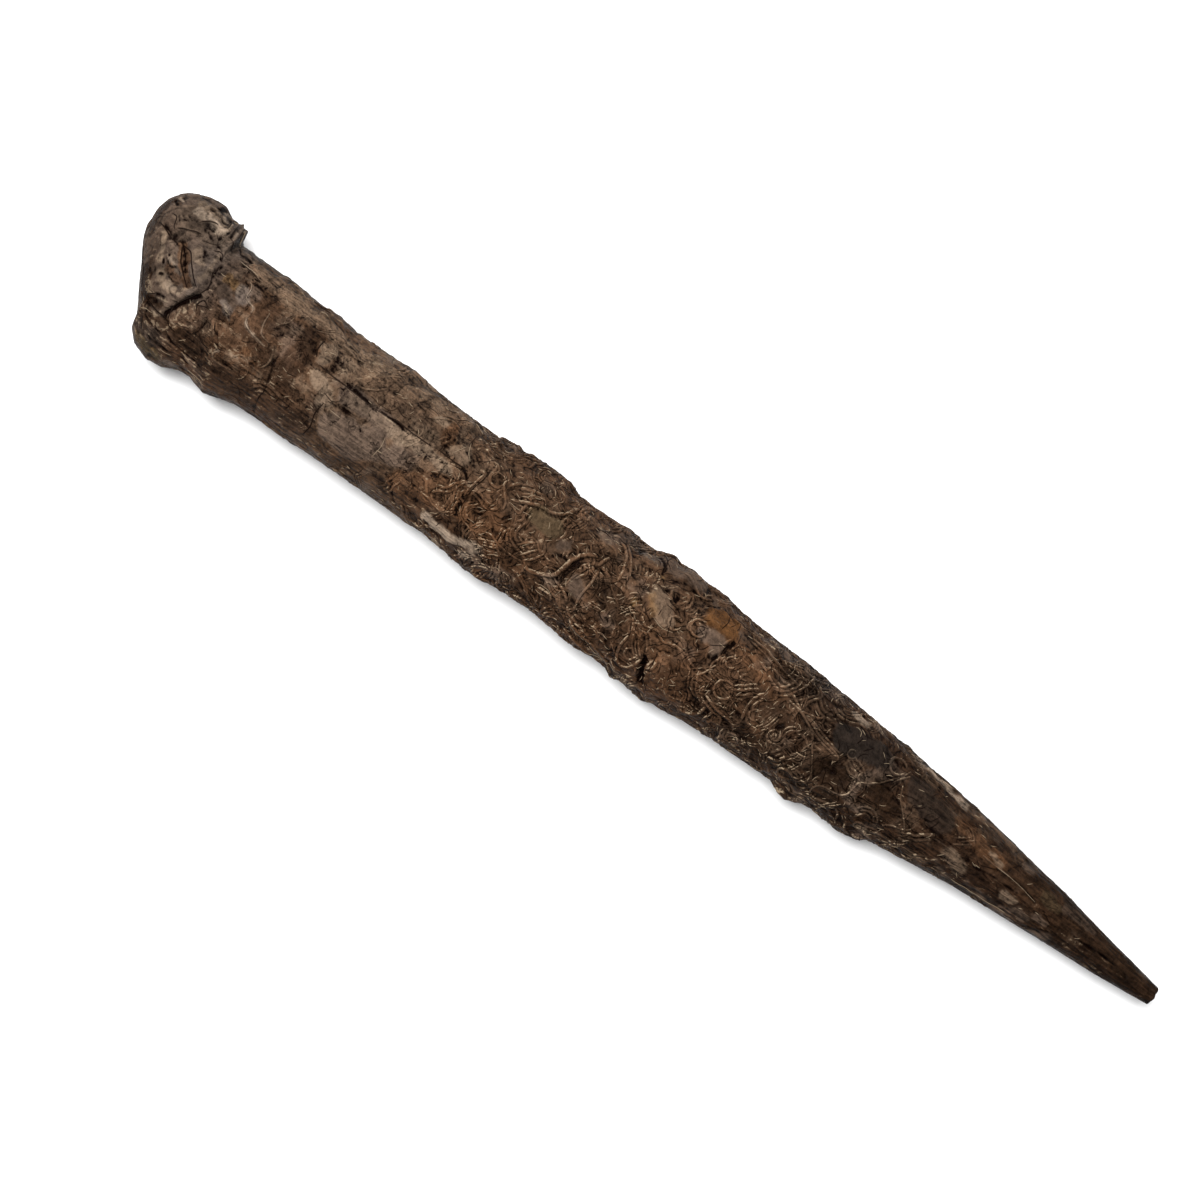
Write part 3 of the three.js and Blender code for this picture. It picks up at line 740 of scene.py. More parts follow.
for edge, side in ((LEFT_EDGE, 1), (RIGHT_EDGE, -1)):
    target = side * np.interp(stations, *zip(*edge)) + OUTLINE_SPARE
    middle = middle_line(stations)[0][:, None]
    plain = (side * (middle + radius * np.cos(turns))).max(axis=1)
    overgrown = (side * (middle + (radius + np.maximum(top, filled)) * np.cos(turns))).max(axis=1)
    growth = blurred((overgrown - plain)[:, None], BUMP)[:, 0]
    change = (target - plain - growth)[:, None]
    broad = blurred(change, BROAD)
    outwards = side * np.cos(turns)
    radius += broad * eased(outwards, *BROAD_FLANK) + (change - broad) * eased(outwards, *FLANK_RIM)


# ---------------------------------------------------------------------------------------------------------
# Guard: its colours
# The calcite is stained umber by the clay it lay in, and nearly black towards the apex. Plates of shell are
# ash grey to bone, and there are spots of rust and ochre from iron in the clay.
LAMP_GAIN = 1.44  # how much brighter the lamp makes a colour than it is
GLOSS = 0.004  # white that the satin skin adds to every colour


def pigment(text):
    """The linear colour of calcite that looks like this six-digit display colour under the lamp."""
    display = np.array([int(text[i:i + 2], 16) for i in (0, 2, 4)]) / 255
    linear = np.where(display <= 0.04045, display / 12.92, ((display + 0.055) / 1.055) ** 2.4)
    return np.maximum(linear - GLOSS, 0.1 * linear) / LAMP_GAIN


UMBER = pigment("533e2f")
DARK_UMBER = pigment("3a2b21")
SOOT = pigment("2e221a")
INK = pigment("29231f")
DUSK = pigment("2f2620")
SLATE = pigment("52443a")
PEWTER = pigment("52473f")
ASH = pigment("5c4d42")
CHALK = pigment("7a6857")
BONE = pigment("917f6e")
LILAC = pigment("665950")
TAN = pigment("5d4a3b")
RUST = pigment("5a3f2c")
OCHRE = pigment("755a3c")
AMBER = pigment("5c3f27")
OLIVE = pigment("4d4030")

GROUND_TONES = [
    (0, SLATE), (4, SLATE), (13, PEWTER), (20, UMBER), (34, UMBER), (42, TAN), (56, TAN),
    (66, UMBER), (112, UMBER), (126, DARK_UMBER), (160, DARK_UMBER), (180, SOOT), (200, SOOT),
]
TONE_WANDER = 4  # mm by which the places of the ground tones wander
RIGHT_FLANK_SHADE = (0.33, 0.39, 0.44)  # painted shade: shares of red, green and blue taken from the right flank, which the lamp lights less

# Marks of colour: colour, strength, reach and route.
STAINS = [
    (SLATE, 0.95, 1.3, [(1, 8), (1, 5.4), (2, 2.4), (3.4, -0.4), (5, -3.4), (6.4, -4.8)]),
    (DUSK, 0.9, 1.1, [(1, 7.4), (0.9, 5.2), (1.6, 3.4)]),
    (CHALK, 0.2, 2.4, [(5, 8.6), (8, 8.4), (11, 8)]),
    (SOOT, 0.8, 0.5, [(1.4, 8.7), (2.4, 9)]),
    (ASH, 0.9, 1.4, [(5, 11), (7.6, 10.8)]),
    (CHALK, 0.8, 1.2, [(6, 11), (8, 10.8), (10.4, 10.4)]),
    (BONE, 0.9, 0.9, [(5.4, 9.6), (7.6, 9.7), (10, 9.6)]),
    (BONE, 0.95, 0.3, [(9.4, 12.1), (10.2, 12.3)]),
    (BONE, 0.9, 0.25, [(9.6, 11.5), (10.4, 11.2)]),
    (BONE, 0.9, 0.16, [(11.2, 11.6), (11.2, 9.8)]),
    (BONE, 0.6, 0.2, [(12.8, 11.8), (12.8, 10)]),
    (BONE, 0.9, 0.16, [(2.2, 9.7), (2.9, 9.7)]),
    (BONE, 0.8, 0.13, [(3.2, 10.1), (3.4, 10)]),
    (SOOT, 0.8, 0.3, [(7.2, 11.4), (7.5, 11.2)]),
    (SOOT, 0.8, 0.35, [(8, 12), (9.3, 12.5)]),
    (CHALK, 0.8, 0.6, [(3.4, 4.2), (4.4, 2.4), (5.2, 0.6)]),
    (CHALK, 0.8, 0.9, [(7, -1.1), (8, -2), (9.3, -2.2)]),
    (BONE, 0.4, 0.5, [(8, -1.9), (9.2, -2.1)]),
    (SOOT, 1.0, 1.4, [(4.6, -2.2), (5.2, -3), (6.6, -5)]),
    (ASH, 0.9, 0.8, [(5.7, 3.2), (6.4, 2)]),
    (BONE, 0.6, 0.3, [(6.4, 1.5), (7.3, 1)]),
    (RUST, 0.5, 0.7, [(7.2, 0), (9.6, -0.4)]),
    (DARK_UMBER, 0.3, 0.5, [(2.8, 5.3), (4.4, 4.9), (6.6, 4.9)]),
    (UMBER, 0.9, 0.75, [(6.8, 4.4), (8.2, 2.9), (9.4, 1.3), (11, -0.2)]),
    (CHALK, 0.5, 1.0, [(9.6, 4.8), (10.8, 3.8)]),
    (DARK_UMBER, 0.8, 1.1, [(7.6, -7), (10.4, -7.4), (13, -7.2)]),
    (CHALK, 0.4, 0.4, [(12.4, 6), (12.6, 3.6), (12.2, 1.4)]),
    (BONE, 0.7, 0.12, [(6.4, -6.3), (8.2, -6.6)]),
    (BONE, 0.6, 0.12, [(9.1, -6.3), (10.1, -6.5)]),
    (DARK_UMBER, 0.8, 0.6, [(6.4, -5.2), (9.6, -5.2)]),
    (UMBER, 0.6, 1.4, [(13, -4.6), (14.4, -3.4), (12.8, -5.8)]),
    (CHALK, 0.5, 0.12, [(14, -2.4), (14.8, -3.4), (14.2, -4.4)]),
    (CHALK, 0.5, 0.12, [(12.2, -5), (12.7, -4), (13.4, -3.8)]),
    (CHALK, 0.5, 0.15, [(12.3, -6), (13.3, -6.2)]),
    (SOOT, 0.8, 1.6, [(15.6, -7.4), (18.6, -8.2)]),
    (OLIVE, 0.9, 1.2, [(9.6, -10.8), (13.4, -12)]),
    (OCHRE, 0.8, 0.2, [(8.2, -9.4), (8.8, -10)]),
    (OCHRE, 0.7, 0.2, [(12.5, -11.4)]),
    (OCHRE, 0.7, 0.2, [(11, -12)]),
    (LILAC, 0.8, 0.8, [(15.8, -11.8), (17.2, -11.8)]),
    (OCHRE, 0.6, 0.6, [(15.8, 4.2), (17.2, 3.9)]),
    (LILAC, 0.95, 1.1, [(18.9, 4.2), (19.3, 3.2)]),
    (SLATE, 0.95, 1.2, [(16.2, 2.2), (18, 1.2)]),
    (DUSK, 0.5, 1.0, [(15.6, 2.2), (17, 1.6)]),
    (BONE, 0.9, 0.16, [(18.1, 4.6), (18.1, 3.3)]),
    (LILAC, 0.9, 0.5, [(17.2, 0.9), (18.6, 0.1)]),
    (BONE, 0.8, 0.15, [(17.6, 0.8), (18.7, 0), (19.6, -0.8)]),
    (ASH, 0.8, 0.9, [(20.4, 5), (21, 4.8)]),
    (DARK_UMBER, 0.6, 1.8, [(23.4, 5), (25, 3), (26.4, 3.4)]),
    (BONE, 0.6, 0.12, [(18.2, 5.8), (19.3, 5.5), (19.7, 4.8), (19.9, 3.4), (21.6, 3), (21.8, 2)]),
    (BONE, 0.95, 0.15, [(21.8, 1.4), (21.9, 0.6), (22.6, 0), (23.6, -0.3), (25, -0.6), (26.6, -0.8)]),
    (BONE, 0.4, 0.12, [(24.3, 3.6), (24.3, 2.2), (24.8, 0.9), (25.6, 0.1)]),
    (BONE, 0.8, 0.15, [(21.1, -5.5), (20.7, -6.1), (21, -6.8)]),
    (CHALK, 0.8, 0.3, [(28.6, -0.6), (28.8, -2), (28.4, -3.4)]),
    (RUST, 0.6, 1.0, [(24.6, -3.4), (27, -3.2)]),
    (CHALK, 0.7, 0.16, [(23, -5), (25, -4.4), (26.4, -3)]),
    (SLATE, 0.9, 0.8, [(15.8, 9), (19.4, 9.2)]),
    (BONE, 0.7, 0.16, [(18.2, 8), (18.5, 8)]),
    (BONE, 0.5, 0.2, [(16, 7.3), (18, 7), (20, 6.9)]),
    (OCHRE, 0.8, 0.45, [(21.8, 7), (22.6, 6.8)]),
    (TAN, 0.9, 2.2, [(20, 7.8), (32, 7.6), (44, 7.4)]),
    (CHALK, 0.2, 1.8, [(20, 7.8), (32, 7.6), (44, 7.4)]),
    (DARK_UMBER, 0.85, 1.9, [(32, 5.4), (32, 2), (31, -3), (26, -1.4)]),
    (DARK_UMBER, 0.85, 2.4, [(17, -7), (23, -8.4), (31, -8), (38, -7.4)]),
    (DARK_UMBER, 0.5, 2.0, [(33, -4.6), (38, -4.6)]),
    (CHALK, 0.6, 1.3, [(35, 4.8), (35.6, 3.2)]),
    (CHALK, 0.3, 1.3, [(38, 4.6), (40, 4.2)]),
    (CHALK, 0.65, 1.3, [(36.4, 0.2), (38, -0.8), (39.4, -2.2)]),
    (TAN, 0.7, 2.0, [(42, 4), (46, 3.4), (50, 2.8)]),
    (ASH, 0.9, 1.6, [(42, 0.6), (46, 0.8), (50, 0)]),
    (CHALK, 0.3, 0.8, [(42.4, 0.4), (46, 0.6), (50.4, 0.6)]),
    (ASH, 0.9, 2.8, [(43, -4.6), (46, -4.6), (49, -3.4)]),
    (SLATE, 0.7, 1.8, [(45.6, -5), (47.4, -6)]),
    (ASH, 0.9, 1.7, [(53, -2.8), (53.8, -2.2)]),
    (CHALK, 0.65, 1.1, [(51, 0), (55.5, 0.9), (61, 0.8)]),
    (CHALK, 0.5, 0.7, [(55.4, 5.8), (57, 6)]),
    (RUST, 0.7, 1.2, [(58.4, 5.8), (58.6, 4.4)]),
    (CHALK, 0.45, 1.0, [(60.4, 3.4), (62.6, 3.6), (62, 5)]),
    (BONE, 0.95, 0.8, [(63, -7.2), (65, -7.7), (69, -7.4), (70, -7.2)]),
    (SOOT, 0.75, 2.0, [(92.6, -0.6), (96, -1.6)]),
    (DARK_UMBER, 0.6, 1.4, [(79, -8), (84, -8.2), (90, -7.8)]),
    (UMBER, 0.5, 1.5, [(126, 3), (130, 3.4)]),
    (BONE, 0.7, 0.6, [(70.6, -6.8), (72.4, -6.4), (71, -8.6)]),
    (RUST, 0.6, 2.6, [(57, -5.4), (62, -3), (68, -2.6), (73, -2.4)]),
    (OLIVE, 0.8, 1.6, [(77, 3), (80, 3)]),
    (SLATE, 0.8, 0.8, [(82.6, 1.4), (83.4, 1.8)]),
    (SLATE, 0.8, 1.3, [(87.8, -2), (88.6, -2.6)]),
    (SLATE, 0.8, 1.5, [(87.5, 7), (91.5, 8.8), (98, 8.8), (104, 9)]),
    (CHALK, 0.45, 1.4, [(99.6, 4.4), (101.4, 3.2), (102.6, 1.8)]),
    (OCHRE, 0.7, 0.45, [(97.2, 1.3), (97.3, 0.5)]),
    (OCHRE, 0.6, 0.3, [(98.7, 7.1)]),
    (OCHRE, 0.4, 0.6, [(98.8, 3.4), (100.6, 1.6)]),
    (AMBER, 0.95, 1.8, [(109, 6.6), (111.6, 7.2), (111.8, 6)]),
    (ASH, 0.8, 1.2, [(109.2, 3.4), (111.6, 3.8), (112, 2)]),
    (RUST, 0.5, 1.4, [(114, 5), (120, 4), (124, 3)]),
    (RUST, 0.4, 2.0, [(102, -2.6), (108, -2)]),
    (SOOT, 0.6, 1.1, [(118, -3.4), (122, -4.4), (125, -6)]),
    (SLATE, 0.7, 1.1, [(116, 9), (124, 8.6), (132, 8)]),
    (SOOT, 0.7, 1.0, [(123.6, 6.6), (129.6, 6)]),
    (INK, 0.97, 2.3, [(136.6, 3.6), (140, 4.2), (142.8, 4.6)]),
    (BONE, 0.6, 0.9, [(135.8, 7.4), (138, 7.2)]),
    (INK, 0.7, 2.3, [(150.8, 3.8), (153.4, 2.8), (156.4, 1.8)]),
    (TAN, 0.7, 0.9, [(145, 8), (152, 7), (160, 6.2), (170, 5)]),
    (BONE, 0.8, 0.7, [(147.6, 7.8), (152, 7.1), (158, 6.2)]),
    (TAN, 0.8, 1.0, [(132.8, -7.8), (136, -8)]),
    (RUST, 0.5, 1.4, [(160, 3.4), (164, 2.4), (168, 2)]),
    (SOOT, 0.9, 1.9, [(136.6, -2.6), (140, -2.4)]),
    (SOOT, 1.0, 1.8, [(145.8, -0.2), (149, -1.4)]),
    (SOOT, 0.4, 2.4, [(116, -5.6), (124, -6.4), (132, -6.4), (140, -5.8)]),
    (CHALK, 0.5, 0.4, [(146, -6.4), (148, -6.6)]),
    (CHALK, 0.2, 0.4, [(155, -5.2), (158.6, -4.9)]),
    (CHALK, 0.4, 1.1, [(160.6, -1.8), (163, -2.4)]),
    (CHALK, 0.45, 0.6, [(166, 2.2), (168, 1.8)]),
    (CHALK, 0.5, 0.6, [(171.4, -1.6), (173, -1.6)]),
    (ASH, 0.5, 0.8, [(174.6, -2.4), (175.6, -2.6)]),
    (ASH, 0.5, 0.5, [(177.4, -1.4), (179, -1.6)]),
    (OLIVE, 0.5, 0.9, [(177, 2), (179, 1.4)]),
    (SLATE, 0.5, 0.9, [(181, 2.4), (186, 2)]),
]

tone_stations = [station for station, _ in GROUND_TONES]
tones = np.array([tone for _, tone in GROUND_TONES])
shifted = station_map + TONE_WANDER * lumps(skin, 12, 40)
stain = np.stack([np.interp(shifted, tone_stations, tones[:, i]) for i in range(3)], axis=-1)
# Painted shade: the right flank is darkened, as the lamp lights it less.
stain *= 1 - np.array(RIGHT_FLANK_SHADE) * eased(-np.cos(turn_map), 0, 0.85)[..., None]


def tinted(colours, colour, strength):
    """A map of colours, each turned towards one colour by the strength there."""
    return colours + (colour - colours) * strength[..., None]


# Patches all over the guard: colour, strength, the values of its lumps where a patch starts and is full,
# and the lumps.
PATCHES = [
    (RUST, 0.3 * crust, (0.1, 0.9), [(1, 6, 41), (0.3, 1.5, 42)]),
    (ASH, 0.6, (0.35, 0.8), [(1, 4, 43), (0.5, 1.2, 44)]),
    (SOOT, 0.45, (0.35, 0.9), [(1, 5, 45), (0.5, 1.4, 46)]),
    (CHALK, 0.25 * flaking, (0.3, 0.4), [(1, 3, 47), (0.6, 1, 48), (0.3, 0.5, 49)]),
]
for colour, strength, limits, layers in PATCHES:
    stain = tinted(stain, colour, strength * eased(layered(skin, *layers), *limits))

MARK_EDGE, MARK_RAG = 0.25, 1.4  # mm and share of rag at most
SMALL_MARK_RAG = 3  # share of rag for each mm of reach, so that small marks keep plainer edges
for colour, strength, reach, route in STAINS:
    mark = brushed(route, reach, min(MARK_EDGE, reach), min(MARK_RAG, SMALL_MARK_RAG * reach))
    stain = tinted(stain, colour, strength * mark)


# ---------------------------------------------------------------------------------------------------------
# Guard: its skin
# One closed mesh, whose rows and columns lie closest on the crumpled head and on the upper side. Both ends
# are closed by rings and a middle point: the head by its worn face, and the apex by the one it broke at.
ROW_STEPS = [(0, 0.17), (20, 0.34), (66, 0.46), (148, 0.4)]  # from this station on, mm
FINE_TO = 20.0  # where the head's fine columns end
UPPER_COLUMNS, LOWER_COLUMNS = 108, 32  # the upper ones are twice as many on the head
UPPER_FROM, UPPER_TO = math.radians(-16), math.radians(196)
CAP_SHARES = (0.8, 0.55, 0.3)  # how wide each ring of an end face is, beside its rim
END_RAG, CAP_RAG = 0.35, 0.15  # mm by which the rims of the ends and their faces are uneven
END_DEPTH = 0.5  # mm from both tips, within which a point lies on an end face or its rim

rows = [0.0]
while rows[-1] < LENGTH:
    step = [size for start, size in ROW_STEPS if rows[-1] >= start][-1]
    rows.append(min(rows[-1] + step, LENGTH))
lower_turns = np.linspace(UPPER_TO, UPPER_FROM + math.tau, LOWER_COLUMNS, endpoint=False)
upper_turns = np.linspace(UPPER_FROM, UPPER_TO, 2 * UPPER_COLUMNS, endpoint=False)
fine_turns = np.concatenate([upper_turns, lower_turns])
coarse_turns = np.concatenate([upper_turns[::2], lower_turns])
fine_places = [*range(0, 2 * UPPER_COLUMNS, 2), *range(2 * UPPER_COLUMNS, len(fine_turns))]

rings = []
for station in rows:
    ring_turns = fine_turns if station < FINE_TO else coarse_turns
    along = np.full(len(ring_turns), station)
    rings.append(at_height(along, ring_turns, look_up(filled, along, ring_turns)))
for ring, outwards in ((rings[0], -1), (rings[-1], 1)):
    ring[:, 0] -= outwards * END_RAG * (0.5 + 0.5 * lumps(ring, 0.8, 50))


def end_cap(rim):
    """Rings that close an end from its rim inwards."""
    middle = rim.mean(axis=0)
    rings = [middle + (rim - middle) * share for share in CAP_SHARES]
    for ring in rings:
        ring[:, 0] += CAP_RAG * lumps(ring, 0.7, 51)
    return rings


rings = [*end_cap(rings[0])[::-1], *rings, *end_cap(rings[-1])]
firsts = np.cumsum([0, *map(len, rings)])  # the number of each ring's first point
points = np.concatenate([*rings, rings[0].mean(axis=0)[None], rings[-1].mean(axis=0)[None]])
points[:, 2] = np.maximum(points[:, 2], 0)
head_point, apex_point = len(points) - 2, len(points) - 1
faces = []
for ring in range(len(rings) - 1):
    here, there = firsts[ring], firsts[ring + 1]
    count, next_count = len(rings[ring]), len(rings[ring + 1])
    for column in range(next_count):
        after = (column + 1) % next_count
        if count == next_count:
            between = [column, after]
        else:  # the last fine ring, where each coarse face takes in two of its edges
            start = fine_places[column]
            end = fine_places[after] or count
            between = [place % count for place in range(start, end + 1)]
        faces.append([*(here + place for place in between), there + after, there + column])
for first, count, point, backwards in ((firsts[0], len(rings[0]), head_point, True),
                                       (firsts[-2], len(rings[-1]), apex_point, False)):
    for column in range(count):
        edge = [first + column, first + (column + 1) % count]
        faces.append([*(edge[::-1] if backwards else edge), point])

guard_mesh = bpy.data.meshes.new("guard_skin")
guard_mesh.from_pydata((points * MM).tolist(), [], faces)
guard_mesh.update()
guard_mesh.shade_smooth()
guard = bpy.data.objects.new("guard_skin", guard_mesh)
bpy.context.scene.collection.objects.link(guard)

# Painted light from the head and the left flank, where the lamp leans: what faces that way is painted paler,
# with painted glints, and what faces away gets painted shade.
PAINTED_LIGHT_FROM = (-0.5, -0.57, 0.65)  # along the guard, round it, and out of it
FLAT_FACING = PAINTED_LIGHT_FROM[2]  # how squarely a skin without bumps faces the painted light


def paint(mesh, places, lime):
    """Stores on a mesh's points what its material reads: the stain, how far each stands proud, and so on."""
    station, turn = station_and_turn(places)
    normals = np.empty(3 * len(places), np.float32)
    mesh.vertex_normals.foreach_get("vector", normals)
    along, across, up = normals.reshape(-1, 3).T
    # How squarely each point faces the painted light; the finish turns this into painted shade and painted
    # glints.
    facing = (along * PAINTED_LIGHT_FROM[0] + (up * np.cos(turn) - across * np.sin(turn)) * PAINTED_LIGHT_FROM[1]
              + (across * np.cos(turn) + up * np.sin(turn)) * PAINTED_LIGHT_FROM[2])
    middle_y, middle_z = middle_line(station)
    height = np.hypot(places[:, 1] - middle_y, places[:, 2] - middle_z) - look_up(radius, station, turn)
    on_an_end = np.abs(station - LENGTH / 2) > LENGTH / 2 - END_DEPTH
    channels = [look_up(stain[..., channel], station, turn) for channel in range(3)]
    colours = np.column_stack([*channels, np.ones(len(places))])
    mesh.attributes.new("stain", "FLOAT_COLOR", "POINT").data.foreach_set("color", colours.ravel())
    values = {
        "proud": np.where(on_an_end, 0, height - look_up(level, station, turn)),
        "facing": np.where(on_an_end, FLAT_FACING, facing),
        "cracks": look_up(cracks, station, turn),
        "bare": look_up(bare, station, turn),
        "crust": look_up(crust, station, turn),
        "fibre": look_up(fibre, station, turn),
        "flaking": look_up(flaking, station, turn),
        "lime": np.interp(station, *zip(*lime)),
    }
    for name, value in values.items():
        mesh.attributes.new(name, "FLOAT", "POINT").data.foreach_set("value", value.astype(np.float32))


NO_LIME = [(0, 0)]
paint(guard_mesh, points, NO_LIME)


# ---------------------------------------------------------------------------------------------------------
# Guard: its finish
# Satin calcite with fine grain, dirt and painted shade in every hollow, and crests painted paler, as wear and
# glints. Sizes in the material are in millimetres, measured on the object's own coordinates. Noise runs from
# 0 to 1, mostly between 0.3 and 0.7.
CHIP_STRETCH = (1, 0.4, 1)  # the calcite chips across its fibres
CALCITE_IOR = 1.5
SHEEN = 0.02  # of 0.5, which would be full gloss
RIDGE_NOISE = (2.6, 1, 0.4, 0.8)  # mm across, detail, roughness and distortion
RIDGES = 4.5  # how many the noise winds through from 0 to 1
RIDGE_RAMP = (0.02, 0.2, -0.28, 0.06)  # height, from the furrow between two ridges up on to one


class Finish:
    """A procedural material, built node by node."""

    def __init__(self, name):
        self.material = bpy.data.materials.new(name)
        self.material.use_nodes = True
        self.tree = self.material.node_tree
        self.shader = self.tree.nodes["Principled BSDF"]
        coordinates = self.tree.nodes.new("ShaderNodeTexCoord")
        self.millimetres = self.vector_math("SCALE", {0: coordinates.outputs["Object"], "Scale": 1 / MM})
        self.fibres = self.vector_math("MULTIPLY", {0: self.millimetres, 1: FIBRE_STRETCH})
        self.chips = self.vector_math("MULTIPLY", {0: self.millimetres, 1: CHIP_STRETCH})

    def node(self, kind, inputs, **settings):
        node = self.tree.nodes.new(kind)
        for name, value in settings.items():
            setattr(node, name, value)
        for name, value in inputs.items():
            self.plug(value, node.inputs[name])
        return node

    def plug(self, value, socket):
        if isinstance(value, bpy.types.NodeSocket):
            self.tree.links.new(value, socket)
        else:
            socket.default_value = value

    def attribute(self, name, output="Fac"):
        return self.node("ShaderNodeAttribute", {}, attribute_name=name).outputs[output]

    def noise(self, size, detail=2.0, roughness=0.5, distortion=0.0, along=None):
        return self.node("ShaderNodeTexNoise", {
            "Vector": along or self.millimetres, "Scale": 1 / size, "Detail": detail, "Roughness": roughness,
            "Distortion": distortion}).outputs["Fac"]

    def math(self, operation, a, b=0.0, c=0.0):
        return self.node("ShaderNodeMath", {0: a, 1: b, 2: c}, operation=operation).outputs[0]

    def vector_math(self, operation, inputs):
        return self.node("ShaderNodeVectorMath", inputs, operation=operation).outputs[0]

    def product(self, first, *others):
        for other in others:
            first = self.math("MULTIPLY", first, other)
        return first

    def ramp(self, value, start, end, low=0.0, high=1.0):
        return self.node("ShaderNodeMapRange", {
            "Value": value, "From Min": start, "From Max": end, "To Min": low, "To Max": high},
            interpolation_type="SMOOTHSTEP").outputs["Result"]

    def mixed(self, share, a, b):
        """Colour a turned towards colour b."""
        return self.node("ShaderNodeMix", {0: share, 6: a, 7: b}, data_type="RGBA").outputs[2]

    def brightened(self, colour, factor):
        return self.vector_math("SCALE", {0: colour, "Scale": factor})

    def ridges(self, place):
        """How high the small winding ridges stand that cover what is overgrown."""
        winding = self.noise(*RIDGE_NOISE, along=place)
        from_furrow = self.math("PINGPONG", self.product(winding, RIDGES), 0.5)
        return self.ramp(from_furrow, *RIDGE_RAMP)

    def satin(self, colour, roughness):
        """Sets the colour and the sheen of calcite."""
        self.plug(colour, self.shader.inputs["Base Color"])
        self.plug(roughness, self.shader.inputs["Roughness"])
        self.plug(CALCITE_IOR, self.shader.inputs["IOR"])
        self.plug(SHEEN, self.shader.inputs["Specular IOR Level"])

    def relief(self, height, depth):
        """Bumps of this depth in mm, where height goes from 0 to 1."""
        bump = self.node("ShaderNodeBump", {"Height": height, "Distance": depth * MM, "Strength": 1.0})
        self.plug(bump.outputs["Normal"], self.shader.inputs["Normal"])


# Dark dirt and painted shade, for the lowest places and for the seams.
DARK_DIRT_AND_SHADE = (*pigment("150f0b"), 1)
# Pale wear and painted glints, for crests and for the glint threads.
PALE_WEAR_AND_GLINT = (*pigment("c2ab8e"), 1)
LIME = (*pigment("82705e"), 1)
SATIN_ROUGHNESS = 0.5
RELIEF_DEPTH = 0.4  # mm, what the heights below are shares of

# Noises: mm across, detail, roughness and, where it has any, distortion.
GRAIN_NOISE = (0.7, 2, 0.6)
FIBRE_NOISE = (0.55, 2, 0.6)
CHIP_NOISE = (0.55, 2, 0.6, 0.3)
MOTTLE_NOISE = (3.0, 3, 0.65)
DASH_NOISE = (1.3, 1)

# Ramps: the two values between which one rises or falls, and its own values there.
GRAIN_RAMP = (0.3, 0.7, -0.18, 0.18)  # height, by noise
FIBRE_RAMP = (0.35, 0.65, -0.3, 0.3)  # height, by noise
CHIP_RAMP = (0.4, 0.58, -0.13, 0.13)  # height, by noise
MOTTLE_RAMP = (0.35, 0.65, -0.25, 0.25)  # change of brightness, by noise
CAVITY_SHADING_RAMP = (-0.35, 0.35, 0.3, 1.65)  # painted shade in hollows and painted highlight on crests: brightness, from a hollow to a crest
DIRT_AND_SHADE_RAMP = (-0.12, -0.36, 0.0, 0.95)  # share of dark dirt and painted shade, by how low it is
LAMP_SIDE_SHADING_RAMP = (0.0, 0.6, 0.45, 1.0)  # painted shade: brightness, from facing away from the painted light to facing it
CREST_RAMP = (0.03, 0.18, 0.0, 1.0)  # how pale, as wear and painted glints, by how high it is
LAMP_SIDE_GLINT_RAMP = (0.68, 0.9, 0.0, 1.0)  # painted glints: how pale, by how it faces the painted light
DASH_RAMP = (0.44, 0.52, 0.0, 1.0)  # how pale, by noise
PLATE_RAMP = (0.0, 1.0, 1.0, 0.2)  # how pale, from a rough place to a plate
CRUST_RAMP = (0.2, 0.8, 0.3, 1.0)  # how pale, by crust
SHEEN_RAMP = (0.3, 0.7, 0.42, 0.6)  # roughness, by the grain's noise

FLAKES = ((6.0, 0.5, 0.5), (2.4, 0.55, 0.25))  # mm across, the noise past which one is left, and its step
FLAKE_DETAIL = (4, 0.6, 0.3)  # detail, roughness and distortion of that noise
FLAKE_RIM, FLAKE_FOOT = 0.012, 0.03  # noise that a flake's edge and the dark line at its foot take up
FLAKE_TOP, FLAKE_FLOOR, FLAKE_GUTTER = 0.42, -0.13, -0.4  # heights of a flake, beside it, and of that line
LIGHTWARD = (-0.08, 0.09, 0.04)  # mm, a small way towards the painted light
GRAIN_TILT = 0.9  # how much the grain's slope counts, beside that of the ridges
TILT = 0.9  # how much the two turn the skin towards the painted light or away from it
RELIEF_SHARE, PROUD_SHARE, CRACK_SHARE = 0.5, 1.7, -0.25  # what the relief, each mm of mesh and a crack add
PLATE_MOTTLING = -0.5  # change in how much a plate is mottled


